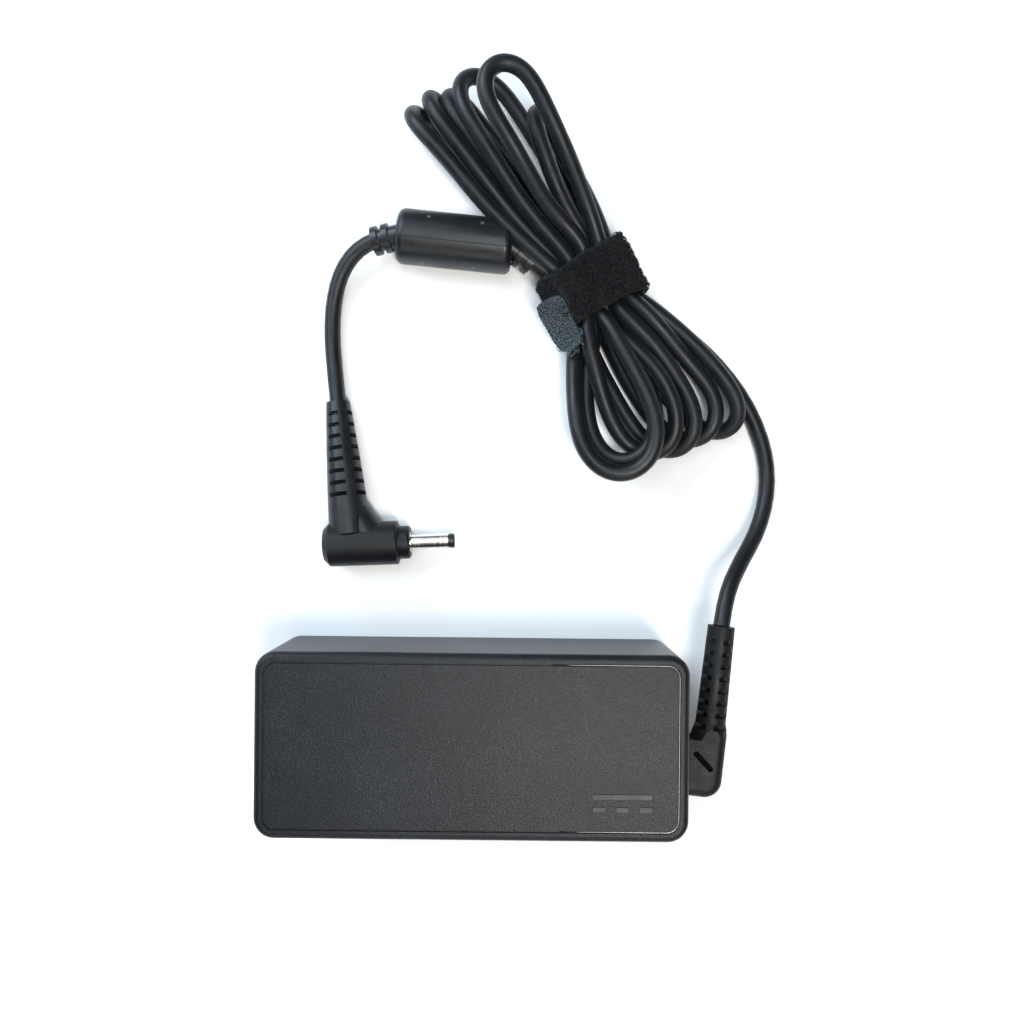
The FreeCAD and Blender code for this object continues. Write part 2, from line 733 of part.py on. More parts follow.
def sleeve_pockets(name, end, direction):
    """Rows of short pockets on the four quarters of a ribbed sleeve, which stop at the core round its cord."""
    row = f"dims.{name}_slot"
    aside = direction.cross(UP)
    rotation = (FreeCAD.Rotation(aside, direction, aside.cross(direction), "XYZ")
                * turn(Vector(0, 1, 0), size(f"{name}_slot_roll")))
    count, reach, spine = int(size(f"{name}_slots")), size(f"{name}_slot_reach"), size(f"{name}_slot_spine")
    run = f"{row}_first + {count} * {row}_pitch"

    def block(label, away, half_length, width, half_height):
        """A block on the sleeve's axis, its middle counted from the sleeve's end."""
        piece = bind(doc.addObject("Part::Box", f"{name}_{label}"), Length=f"2 * {half_length}", Width=width,
                     Height=f"2 * {half_height}")
        corner = Vector(-number(half_length), -number(width) / 2, -number(half_height))
        piece.Placement = FreeCAD.Placement(end - direction * away + rotation.multVec(corner), rotation)
        return piece

    slabs = [block(f"slab_{step}", size(f"{name}_slot_first") + step * size(f"{name}_slot_pitch"),
                   f"{row}_reach", f"{row}_width", f"{row}_reach") for step in range(count)]
    middle = number(run) / 2
    spines = [block("spine_flat", middle, f"{row}_reach", run, f"{row}_spine"),
              block("spine_upright", middle, f"{row}_spine", run, f"{row}_reach")]
    core = bind(doc.addObject("Part::Cylinder", f"{name}_core"), Radius="dims.slot_core", Height=run)
    core.Placement = FreeCAD.Placement(end - direction * number(run), rotation_to(direction))
    return cut(f"{name}_pockets", fuse(f"{name}_slabs", *slabs), core, *spines)


def elbow_root(start, direction):
    """The boot's root: a block in line with the arm, its far corner well rounded, cut off at the case."""
    above, thickness = size("elbow_above"), "dims.elbow_thickness"
    aside = direction.cross(UP)
    rotation = FreeCAD.Rotation(aside, direction, aside.cross(direction), "XYZ")
    block = bind(doc.addObject("Part::Box", "elbow_root"), Length="3 * dims.arm_start_radius + dims.fit_gap",
                 Width="dims.elbow_above + dims.elbow_below + dims.elbow_blend", Height=thickness)
    corner = Vector(-2 * size("arm_start_radius"), -size("elbow_below"), -size("elbow_thickness") / 2)
    block.Placement = FreeCAD.Placement(start + rotation.multVec(corner), rotation)
    face, tall = size("brick_length") / 2, size("elbow_thickness") - size("fit_gap")
    far_side = face + size("arm_start_radius")
    turned = rounded("elbow_round_corner", block, "elbow_corner", lambda edge: (
        edge.BoundBox.ZLength > tall and edge.BoundBox.XMin > far_side and edge.BoundBox.YMax < size("elbow_y")))
    softened = rounded("elbow_soft_root", turned, "elbow_round", lambda edge: (
        edge.BoundBox.ZLength < size("fit_gap") and edge.BoundBox.XMax > far_side))
    inside = box("elbow_inside", "dims.brick_length / 2", "dims.brick_width", "dims.brick_height",
                 "dims.brick_length / 4", "0", "0")
    blend = bind(doc.addObject("Part::Cone", "elbow_blend"), Radius1="dims.elbow_blend_start",
                 Radius2="dims.elbow_blend_end", Height="dims.elbow_blend")
    blend.Placement = FreeCAD.Placement(start + direction * above, rotation_to(direction))
    around = bind(doc.addObject("Part::Box", "elbow_blend_around"), Length="6 * dims.arm_start_radius",
                  Width="dims.elbow_blend + dims.overshoot", Height="2 * dims.elbow_thickness")
    around_corner = Vector(-4 * size("arm_start_radius"), above, -size("elbow_thickness"))
    around.Placement = FreeCAD.Placement(start + rotation.multVec(around_corner), rotation)
    return cut("elbow_trimmed_root", softened, inside, cut("elbow_blend_waste", around, blend))


def elbow_strain_relief():
    """A soft right-angle boot: root block, neck through the wall, flange behind it and a ribbed arm."""
    face = "dims.brick_length / 2"
    inner_face = size("brick_length") / 2
    start, end, direction = arm_frame()
    neck = cylinder("elbow_neck", "dims.elbow_neck_radius", "dims.elbow_neck_length",
                    f"{face} - dims.elbow_neck_length + dims.elbow_neck_overlap", "dims.elbow_y", "dims.elbow_height", along_x())
    flange = cylinder("elbow_flange", "dims.elbow_flange_radius", "dims.elbow_flange_length",
                      f"{face} - dims.wall - dims.elbow_flange_length - dims.fit_gap", "dims.elbow_y",
                      "dims.elbow_height", along_x())
    arm = bind(doc.addObject("Part::Cone", "elbow_arm"), Radius1="dims.arm_start_radius",
               Radius2="dims.arm_end_radius")
    arm.Height = (end - start).Length
    arm.Placement = FreeCAD.Placement(start, rotation_to(direction))
    boot = fuse("elbow_boot", elbow_root(start, direction), neck, flange, arm)
    vent = bind(doc.addObject("Part::Box", "elbow_vent"), Length="dims.vent_slot_length",
                Width="dims.vent_slot_width", Height="dims.vent_slot_depth + dims.overshoot")
    vent_middle = Vector(inner_face + size("vent_slot_x"), size("elbow_y") + size("vent_slot_y"),
                         size("elbow_height") + size("elbow_thickness") / 2)
    vent_turn = turn(UP, size("vent_slot_turn"))
    vent_corner = Vector(-size("vent_slot_length") / 2, -size("vent_slot_width") / 2, -size("vent_slot_depth"))
    vent.Placement = FreeCAD.Placement(vent_middle + vent_turn.multVec(vent_corner), vent_turn)
    round_vent = rounded("elbow_round_vent", vent, "vent_slot_round",
                         lambda edge: edge.BoundBox.ZLength > size("vent_slot_depth"))
    return keep(cut("elbow_strain_relief", boot, round_vent, sleeve_pockets("arm", end, direction)))


# ---------------------------------------------------------------- cords
def smooth_route(name, points):
    """Straight runs joined by tangent arcs, each arc as large as its two runs allow."""
    corners = [Vector(*point) for point in points]
    edges = []
    radii = []
    here = corners[0]
    for before, corner, after in zip(corners, corners[1:], corners[2:]):
        run_in, run_out = (corner - before), (after - corner)
        way_in, way_out = Vector(run_in).normalize(), Vector(run_out).normalize()
        half_turn = way_in.getAngle(way_out) / 2
        reach = 0.45 * min(run_in.Length, run_out.Length)
        radius = reach / math.tan(half_turn)
        first, last = corner - way_in * reach, corner + way_out * reach
        to_centre = (way_out - way_in).normalize()
        centre = corner + to_centre * (radius / math.cos(half_turn))
        edges.append(Part.LineSegment(here, first).toShape())
        edges.append(Part.Arc(first, centre - to_centre * radius, last).toShape())
        radii.append(radius)
        here = last
    edges.append(Part.LineSegment(here, corners[-1]).toShape())
    wire = Part.Wire(edges)
    print(f"{name}: length {wire.Length:.1f} mm, radii", " ".join(f"{radius:.1f}" for radius in radii))
    return wire


def tube_shape(name, points, diameter):
    """A round cord swept along its route, its volume checked against section times length."""
    wire = smooth_route(name, points)
    start, towards = Vector(*points[0]), Vector(*points[1])
    profile = Part.Wire([Part.Circle(start, towards - start, diameter / 2).toShape()])
    solid = wire.makePipeShell([profile], True, False)
    expected = math.pi * diameter ** 2 / 4 * wire.Length
    if abs(solid.Volume / expected - 1) > 0.01:
        raise RuntimeError(f"{name}: volume {solid.Volume:.1f} instead of {expected:.1f}")
    return solid


def inner_wires():
    """Insulated wires inside the case: from the inlet's pins to the board, and from it to the cord."""
    wire = size("wire_diameter")
    seam, board_top = size("seam_height"), number(BOARD_TOP)
    pin_end = -size("brick_length") / 2 + number(
        "dims.inlet_cavity_depth - dims.pin_reach + dims.pin_length")
    mains = []
    for index, (y, z) in enumerate(PIN_PLACES):
        y_start, z_start = number(y), seam + number(z)
        mains.append(tube_shape(f"ac_wire_{index}", (
            (pin_end, y_start, z_start),
            (pin_end + size("ac_wire_straight"), y_start, z_start),
            (pin_end + size("ac_wire_reach"), y_start * size("ac_wire_fan"), board_top + size("ac_wire_rise")),
            (pin_end + size("ac_wire_reach"), y_start * size("ac_wire_fan"), board_top)), wire))
    keep(feature("ac_wires", Part.makeCompound(mains)))
    flange_face = number("dims.brick_length / 2 - dims.wall - dims.elbow_flange_length - dims.fit_gap")
    output = []
    for index, side in enumerate((-1, 1)):
        shift = side * size("wire_pair_gap")
        y_start = size("elbow_y") + shift
        output.append(tube_shape(f"dc_wire_{index}", (
            (flange_face, y_start, seam),
            (flange_face - size("dc_wire_straight"), y_start, seam),
            (flange_face - size("dc_wire_reach"), y_start + shift, board_top + size("dc_wire_rise")),
            (flange_face - size("dc_wire_reach"), y_start + shift, board_top)), wire))
    keep(feature("dc_wires", Part.makeCompound(output)))


def hank_placement():
    """The coil's own frame: x across it, y along it towards the loops furthest from the plug."""
    return FreeCAD.Placement(Vector(size("hank_x"), size("hank_y"), 0), turn(UP, size("hank_turn")))


def hank_shape():
    """The outer shape of the six tied turns, narrow where the strap holds them."""
    rings = []
    for along, left, right, low, high in HANK_SECTIONS:
        corners = [Vector(left, along, low), Vector(right, along, low), Vector(right, along, high),
                   Vector(left, along, high)]
        rings.append(Part.makePolygon(corners + corners[:1]))
    spans = [Part.makeLoft([first, second], True, True) for first, second in zip(rings, rings[1:])]
    return spans[0].multiFuse(spans[1:]).removeSplitter()


# ---------------------------------------------------------------- tie
def strap_band():
    """The hook-and-loop band that is wrapped round the coil."""
    body = new_body("strap_band", "dims.hank_x", "dims.hank_y", "dims.strap_height / 2",
                    turn(UP, size("hank_turn")))
    rings = sketch_on(body, "XZ_Plane", "strap_section")
    rounded_rectangle(rings, "dims.strap_span", "dims.strap_height", "dims.strap_round")
    rounded_rectangle(rings, "dims.strap_span - 2 * dims.strap_thickness",
                      "dims.strap_height - 2 * dims.strap_thickness", "dims.strap_round - dims.strap_thickness")
    pad(body, rings, "dims.strap_width", both_ways=True)
    return keep(body)


def strap_tab(hank):
    """The strap's free end, turned a little, which sticks out at the left over the coil."""
    frame = hank_placement()
    blank = bind(doc.addObject("Part::Box", "strap_tab_blank"), Length="dims.tab_length",
                 Width="dims.tab_width", Height="dims.tab_height")
    corner = frame.multVec(Vector(size("tab_left"), size("tab_near"), size("tab_bottom")))
    blank.Placement = FreeCAD.Placement(corner, turn(UP, size("hank_turn") + size("tab_turn")))
    soft = rounded("strap_tab_soft", blank, "edge_round",
                   lambda edge: edge.Length < size("tab_height") + 0.01)
    band = bind(doc.addObject("Part::Box", "strap_envelope"), Length="dims.strap_span",
                Width="dims.strap_width", Height="dims.strap_height")
    band_corner = Vector(-size("strap_span") / 2, -size("strap_width") / 2, 0)
    band.Placement = frame.multiply(FreeCAD.Placement(band_corner, turn(UP, 0)))
    return keep(cut("strap_tab", soft, band, hank))


# ---------------------------------------------------------------- ferrite bead
def bead_parts():
    """A ferrite core in a moulded cover, with a ribbed collar on the cord at each end."""
    yaw = turn(UP, size("bead_turn"))
    forward = yaw.multVec(Vector(1, 0, 0))
    middle = Vector(size("bead_x"), size("bead_y"), size("bead_radius"))
    left, right = middle - forward * size("bead_length") / 2, middle + forward * size("bead_length") / 2

    def rod(name, radius, length, start, direction):
        piece = bind(doc.addObject("Part::Cylinder", name), Radius=radius, Height=length)
        piece.Placement = FreeCAD.Placement(start, rotation_to(direction))
        return piece

    barrel = rod("bead_barrel", "dims.bead_radius", "dims.bead_length", left, forward)
    soft_barrel = rounded("bead_soft_barrel", barrel, "bead_round", lambda edge: edge.Closed)
    core_start = middle - forward * size("ferrite_length") / 2
    core = rod("ferrite_core_rod", "dims.ferrite_radius", "dims.ferrite_length", core_start, forward)
    collars = []
    cord_start, cord_end = Vector(*PLUG_ROUTE[0]), Vector(*PLUG_ROUTE[3])
    ends = ((right, (cord_start - right).normalize()), (left, (cord_end - left).normalize()))
    for index, (end, way) in enumerate(ends):
        start = end - way * size("collar_overlap")
        collars.append(rod(f"collar_neck_{index}", "dims.collar_radius",
                           "dims.collar_length + dims.collar_overlap", start, way))
        for step in (1, 2):
            rib_start = end + way * (step * size("collar_rib_pitch") - size("collar_rib_width") / 2)
            collars.append(rod(f"collar_rib_{index}_{step}", "dims.collar_rib_radius",
                               "dims.collar_rib_width", rib_start, way))
    cord = feature("bead_cord_way", tube_shape("cord through the bead", PLUG_ROUTE, size("cord_diameter")))
    cover = fuse("bead_cover", soft_barrel, *collars)
    keep(cut("ferrite_overmould", cover, core, cord))
    keep(cut("ferrite_core", core, cord))
    return cover


# ---------------------------------------------------------------- plug
def plug_parts():
    yaw = size("plug_turn")
    forward = turn(UP, yaw).multVec(Vector(1, 0, 0))
    origin = Vector(size("plug_x"), size("plug_y"), size("plug_radius"))

    def rod(name, radius, length, start):
        """A piece of the plug: its start is counted along the plug's axis from its blunt end."""
        piece = bind(doc.addObject("Part::Cylinder", name), Radius=radius, Height=length)
        piece.Placement = FreeCAD.Placement(origin + forward * start, along_x(yaw))
        return piece

    tail = plug_tail()
    barrel = rod("plug_barrel", "dims.plug_radius", "dims.plug_length", 0)
    doc.recompute()
    bevelled = doc.addObject("Part::Chamfer", "plug_bevelled_barrel")
    bevelled.Base = barrel
    blunt_x = size("plug_x") + size("overshoot")
    bevelled.Edges = [(index, size("plug_bevel"), size("plug_bevel"))
                  for index, edge in enumerate(barrel.Shape.Edges, start=1)
                  if edge.Closed and edge.CenterOfMass.x < blunt_x]
    length = size("plug_length")
    reach = length + size("plug_collar_length")
    shoulder = origin + forward * length
    body = rounded("plug_soft_barrel", bevelled, "plug_round",
                   lambda edge: edge.Closed and (edge.CenterOfMass - shoulder).Length < size("fit_gap"))
    root_start = reach - size("sleeve_root")
    keep(cut("plug_strain_relief", tail, body))
    keep(body, "plug_body")
    flange = rod("plug_sleeve_flange", "dims.sleeve_root_radius", "dims.sleeve_root", root_start)
    collar = rod("plug_collar_rod", "dims.plug_collar_radius", "dims.plug_collar_length", length)
    soft_collar = rounded("plug_soft_collar", collar, "collar_round", lambda edge: (
        edge.Closed and (edge.CenterOfMass - origin - forward * reach).Length < size("fit_gap")))
    keep(cut("plug_collar", soft_collar, flange))
    tube = rod("plug_sleeve_rod", "dims.sleeve_radius", "dims.sleeve_length", reach)
    filler = rod("plug_filler_rod", "dims.sleeve_radius - dims.sleeve_wall",
                 "dims.sleeve_length + dims.sleeve_root", root_start)
    keep(cut("plug_sleeve", fuse("plug_sleeve_blank", flange, tube), filler))
    tip = reach + size("sleeve_length")
    contact = rod("plug_contact_rod", "dims.contact_radius", "dims.contact_length",
                  tip - size("contact_recess") - size("contact_length"))
    bore = rod("plug_bore", "dims.contact_bore", "dims.contact_length + dims.ring_length",
               tip - size("contact_length") + size("contact_base"))
    keep(cut("plug_center_contact", contact, bore))
    keep(cut("plug_insulator", filler, contact, bore))
    ring = rod("plug_ring_rod", "dims.sleeve_radius", "dims.ring_length", tip)
    soft_ring = rounded("plug_soft_ring", ring, "ring_round", lambda edge: edge.Closed)
    keep(cut("plug_tip_ring", soft_ring, bore))


def plug_tail():
    """The plug's tapered ribbed sleeve, which the cord enters."""
    sections = []
    places = {name: Vector(*(size(f"tail_{name}_{axis}") for axis in "xyz")) for name in ("end", "mid", "root")}
    direction = (places["end"] - places["mid"]).normalize()
    for name, place in places.items():
        ring = bind(doc.addObject("Part::Circle", f"tail_ring_{name}"), Radius=f"dims.tail_{name}_radius")
        ring.Placement = FreeCAD.Placement(place, rotation_to(direction))
        sections.append(ring)
    taper = doc.addObject("Part::Loft", "tail_taper")
    taper.Sections = sections
    taper.Solid = True
    flare_start, flare_end = (Vector(size(f"flare_{name}_x"), size(f"flare_{name}_y"), size("flare_z"))
                              for name in ("start", "end"))
    flare = bind(doc.addObject("Part::Cone", "tail_flare"), Radius1="dims.flare_start_radius",
                 Radius2="dims.flare_end_radius")
    flare.Height = (flare_end - flare_start).Length
    flare.Placement = FreeCAD.Placement(flare_start, rotation_to((flare_end - flare_start).normalize()))
    return cut("tail_ribbed", fuse("tail_blank", taper, flare),
               sleeve_pockets("tail", places["end"], direction))


# ---------------------------------------------------------------- the whole adapter
def cords(bead_cover, band, elbow):
    """The coil and the two free stretches, which end on the faces of what they enter."""
    diameter = size("cord_diameter")
    hank = feature("hank_outer_shape", hank_shape(), hank_placement())
    keep(cut("cord_hank", hank, bead_cover, band))
    lead = feature("lead_sweep", tube_shape("cord_lead", LEAD_ROUTE, diameter))
    keep(cut("cord_lead", cut("lead_beyond_coil", lead, hank), elbow))
    run = feature("plug_run_sweep", tube_shape("cord_plug_run", PLUG_ROUTE, diameter))
    keep(cut("cord_plug_run", cut("plug_run_beyond_coil", run, hank), doc.getObject("tail_taper")))
    return hank


def build():
    top_cover()
    bottom_cover()
    rating_label()
    ac_inlet()
    inlet_pins()
    main_board()
    board_parts()
    bulk_capacitor()
    common_mode_choke()
    transformer()
    small_board_parts()
    inner_wires()
    elbow = elbow_strain_relief()
    plug_parts()
    hank = cords(bead_parts(), strap_band(), elbow)
    strap_tab(hank)
    doc.recompute()


def check():
    for item in doc.Objects:
        if {"Invalid", "Error"} & set(item.State):
            raise RuntimeError(f"{item.Name} failed: {item.State}")
    for item in nodes:
        if item.Shape.isNull() or not item.Shape.isValid():
            raise RuntimeError(f"{item.Label} has a bad shape")


def write():
    os.makedirs("parts", exist_ok=True)
    for item in nodes:
        item.Shape.exportStep(f"parts/{item.Label}.step")
        bounds = item.Shape.BoundBox
        print(f"{item.Label}: {len(item.Shape.Solids)} solids, {item.Shape.Volume:.1f} mm3,"
              f" z {bounds.ZMin:.2f}..{bounds.ZMax:.2f}")


build()
check()
write()
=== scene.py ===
"""Looks of the laptop power adapter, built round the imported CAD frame. Metres, +Z up."""
import math

import bpy
import numpy as np
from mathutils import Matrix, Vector


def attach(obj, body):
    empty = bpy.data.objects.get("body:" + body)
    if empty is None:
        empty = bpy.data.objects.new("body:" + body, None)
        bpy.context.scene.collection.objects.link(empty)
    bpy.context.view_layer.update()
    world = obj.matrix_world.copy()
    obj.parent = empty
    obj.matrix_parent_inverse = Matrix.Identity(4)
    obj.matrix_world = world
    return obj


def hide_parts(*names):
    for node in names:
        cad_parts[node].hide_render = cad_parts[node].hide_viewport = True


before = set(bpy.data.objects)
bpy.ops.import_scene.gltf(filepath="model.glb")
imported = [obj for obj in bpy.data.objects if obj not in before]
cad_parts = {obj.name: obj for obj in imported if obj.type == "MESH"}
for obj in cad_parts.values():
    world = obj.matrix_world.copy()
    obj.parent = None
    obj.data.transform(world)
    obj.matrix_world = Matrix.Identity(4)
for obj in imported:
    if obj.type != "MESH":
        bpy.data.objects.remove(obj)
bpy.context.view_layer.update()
MM = 0.001
rng = np.random.default_rng(45)

# ---------------------------------------------------------------- camera
CAMERA_AT = (8.1, 50.2, 238.0)
CAMERA_ROLL = 0.6
FOCAL_SHARE = 986.0 / 1024.0
SENSOR = 36.0


def add_camera():
    """Straight down over the cord and the brick, as near as the picture was taken."""
    data = bpy.data.cameras.new("camera")
    data.sensor_width = SENSOR
    data.lens = SENSOR * FOCAL_SHARE
    data.clip_start = 0.01
    data.clip_end = 10.0
    camera = bpy.data.objects.new("camera", data)
    camera.location = Vector(CAMERA_AT) * MM
    camera.rotation_euler = (0.0, 0.0, math.radians(CAMERA_ROLL))
    bpy.context.scene.collection.objects.link(camera)
    bpy.context.scene.camera = camera


# ---------------------------------------------------------------- light and floor
WORLD_TINT, WORLD_STRENGTH = (0.86, 0.93, 1.0, 1.0), 0.14
OBJECT_MIDDLE = (0.01, 0.06, 0.0)
# Each lamp: its name, place, target, size, power and colour.
LAMPS = (
    ("window", (-0.42, 0.44, 0.44), OBJECT_MIDDLE, (0.62, 0.40), 6.0, (0.74, 0.88, 1.0)),
    ("ceiling", (-0.07, 0.20, 0.75), OBJECT_MIDDLE, (0.26, 0.40), 1.5, (0.86, 0.94, 1.0)),
    ("overhead", (0.125, -0.13, 0.60), (0.03, 0.0, 0.0), (0.12, 0.26), 2.8, (1.0, 0.97, 0.93)),
    ("front", (0.0, -0.62, 0.40), OBJECT_MIDDLE, (0.70, 0.30), 1.4, (1.0, 0.97, 0.94)),
)
FLOOR_REACH, FLOOR_TINT, FLOOR_ROUGHNESS = 3.0, (0.95, 0.95, 0.95, 1.0), 0.9


def area_light(name, place, target, size, power, colour):
    """A rectangular lamp at a place, turned to face a target."""
    data = bpy.data.lights.new(name, "AREA")
    data.shape = "RECTANGLE"
    data.size, data.size_y = size
    data.energy = power
    data.color = colour
    lamp = bpy.data.objects.new(name, data)
    lamp.location = place
    lamp.rotation_euler = (Vector(target) - Vector(place)).to_track_quat("-Z", "Y").to_euler()
    bpy.context.scene.collection.objects.link(lamp)


def add_studio():
    """A cool dim world, the lamps, and a white floor that isn't part of the object."""
    scene = bpy.context.scene
    scene.view_settings.view_transform = "Standard"
    world = bpy.data.worlds.new("studio")
    world.use_nodes = True
    world.node_tree.nodes["Background"].inputs["Color"].default_value = WORLD_TINT
    world.node_tree.nodes["Background"].inputs["Strength"].default_value = WORLD_STRENGTH
    scene.world = world
    for lamp in LAMPS:
        area_light(*lamp)
    mesh = bpy.data.meshes.new("floor")
    corners = [(x * FLOOR_REACH, y * FLOOR_REACH, 0) for x, y in ((-1, -1), (1, -1), (1, 1), (-1, 1))]
    mesh.from_pydata(corners, [], [(0, 1, 2, 3)])
    floor = bpy.data.objects.new("floor", mesh)
    scene.collection.objects.link(floor)
    paint = bpy.data.materials.new("floor_paint")
    paint.use_nodes = True
    shader = paint.node_tree.nodes["Principled BSDF"]
    shader.inputs["Base Color"].default_value = FLOOR_TINT
    shader.inputs["Roughness"].default_value = FLOOR_ROUGHNESS
    mesh.materials.append(paint)


# ---------------------------------------------------------------- material kit
class Paint:
    """A node material that starts from Principled and texture coordinates in metres."""

    def __init__(self, name, base, roughness, **sockets):
        self.material = bpy.data.materials.new(name)
        self.material.use_nodes = True
        self.tree = self.material.node_tree
        self.shader = self.tree.nodes["Principled BSDF"]
        self.shader.inputs["Base Color"].default_value = (*base, 1.0)
        self.shader.inputs["Roughness"].default_value = roughness
        for socket, value in sockets.items():
            self.shader.inputs[socket.replace("_", " ")].default_value = value
        self.place = self.node("ShaderNodeTexCoord").outputs["Object"]

    def node(self, kind, **settings):
        made = self.tree.nodes.new(kind)
        for name, value in settings.items():
            setattr(made, name, value)
        return made

    def link(self, source, target):
        self.tree.links.new(source, target)

    def stretched(self, scale):
        """Texture coordinates scaled along each axis."""
        mapping = self.node("ShaderNodeMapping")
        mapping.inputs["Scale"].default_value = scale
        self.link(self.place, mapping.inputs["Vector"])
        return mapping.outputs["Vector"]

    def noise(self, grain_mm, detail=3.0, roughness=0.5, scale=(1, 1, 1)):
        """Noise whose grains are about grain_mm across."""
        texture = self.node("ShaderNodeTexNoise")
        texture.inputs["Scale"].default_value = 1.0 / (grain_mm * MM)
        texture.inputs["Detail"].default_value = detail
        texture.inputs["Roughness"].default_value = roughness
        self.link(self.stretched(scale), texture.inputs["Vector"])
        return texture.outputs["Fac"]

    def cells(self, grain_mm, feature="F1"):
        """Cells about grain_mm across, as distances from their middles or their edges."""
        texture = self.node("ShaderNodeTexVoronoi", feature=feature)
        texture.inputs["Scale"].default_value = 1.0 / (grain_mm * MM)
        self.link(self.place, texture.inputs["Vector"])
        return texture.outputs["Distance"]

    def ramp(self, source, stops):
        """Colours, or greys given as single numbers, at places along a source."""
        ramp = self.node("ShaderNodeValToRGB")
        elements = ramp.color_ramp.elements
        while len(elements) < len(stops):
            elements.new(0.5)
        for element, (position, colour) in zip(elements, stops):
            element.position = position
            element.color = (*colour, 1.0) if isinstance(colour, tuple) else (colour, colour, colour, 1.0)
        self.link(source, ramp.inputs["Fac"])
        return ramp.outputs["Color"]

    def math(self, operation, first, second):
        made = self.node("ShaderNodeMath", operation=operation)
        for socket, value in zip(made.inputs, (first, second)):
            if isinstance(value, (int, float)):
                socket.default_value = value
            else:
                self.link(value, socket)
        return made.outputs["Value"]

    def colour(self, source):
        self.link(source, self.shader.inputs["Base Color"])

    def rough(self, source):
        self.link(source, self.shader.inputs["Roughness"])

    def bump(self, *layers):
        """Layers of (height source, depth in mm), one bump on another."""
        normal = None
        for source, depth_mm in layers:
            bump = self.node("ShaderNodeBump")
            bump.inputs["Distance"].default_value = depth_mm * MM
            self.link(source, bump.inputs["Height"])
            if normal is not None:
                self.link(normal, bump.inputs["Normal"])
            normal = bump.outputs["Normal"]
        self.link(normal, self.shader.inputs["Normal"])


def shade(base, factor):
    """A colour made darker or lighter."""
    return tuple(channel * factor for channel in base)


def casing_paint():
    """Moulded plastic with a fine spark-eroded grain and a faint cloudiness, and bright specks painted in as glints
    off the grain.
    """
    base = (0.0070, 0.0083, 0.0105)
    paint = Paint("casing_black", base, 0.4, Specular_IOR_Level=0.23)
    grain = paint.noise(0.24, 4.0, 0.7)
    pits = paint.cells(0.30)
    cloud = paint.noise(11.0, 3.0)
    tone = paint.math("ADD", paint.math("MULTIPLY", grain, 0.85), paint.math("MULTIPLY", cloud, 0.15))
    # The ramp's two top stops paint bright specks: painted glints of the grain's sparkle.
    paint.colour(paint.ramp(tone, [(0.36, shade(base, 0.5)), (0.52, base), (0.60, shade(base, 2.2)),
                                   (0.66, shade(base, 6.0))]))
    paint.rough(paint.ramp(grain, [(0.3, 0.44), (0.7, 0.28)]))
    paint.bump((grain, 0.045), (pits, 0.030))
    return paint.material


def jacket_paint(name, base, roughness, **sockets):
    """Satin soft vinyl: faint mottling, pores and rubbed patches."""
    paint = Paint(name, base, roughness, **{"Specular_IOR_Level": 0.38, "Sheen_Weight": 0.02, **sockets})
    mottle = paint.noise(2.8, 4.0)
    pores = paint.noise(0.18, 2.0)
    rubbed = paint.noise(7.0, 5.0, 0.65)
    paint.colour(paint.ramp(mottle, [(0.3, shade(base, 0.75)), (0.58, base), (0.8, shade(base, 1.7))]))
    paint.rough(paint.ramp(rubbed, [(0.32, roughness - 0.07), (0.70, roughness + 0.13)]))
    paint.bump((pores, 0.014), (mottle, 0.035))
    return paint.material


def moulded_paint(name, base, roughness, grain_mm=0.3, depth_mm=0.02, spread=0.3, scale=(1, 1, 1), **sockets):
    """One solid stuff with a grain in its colour, its gloss and its surface."""
    paint = Paint(name, base, roughness, **sockets)
    grain = paint.noise(grain_mm, 3.0, 0.6, scale)
    cloud = paint.noise(grain_mm * 14, 3.0)
    tone = paint.math("ADD", paint.math("MULTIPLY", grain, 0.6), paint.math("MULTIPLY", cloud, 0.4))
    paint.colour(paint.ramp(tone, [(0.30, shade(base, 1 - spread)), (0.5, base), (0.72, shade(base, 1 + spread))]))
    paint.rough(paint.ramp(tone, [(0.3, max(roughness - 0.08, 0.05)), (0.7, min(roughness + 0.10, 1.0))]))
    paint.bump((grain, depth_mm))
    return paint.material


def board_paint():
    """Green solder mask over a web of copper tracks."""
    paint = Paint("board", (0.03, 0.16, 0.07), 0.35)
    tracks = paint.cells(2.2, "DISTANCE_TO_EDGE")
    paint.colour(paint.ramp(tracks, [(0.05, (0.06, 0.26, 0.11)), (0.12, (0.025, 0.13, 0.06))]))
    paint.bump((tracks, 0.05), (paint.noise(0.5), 0.01))
    return paint.material


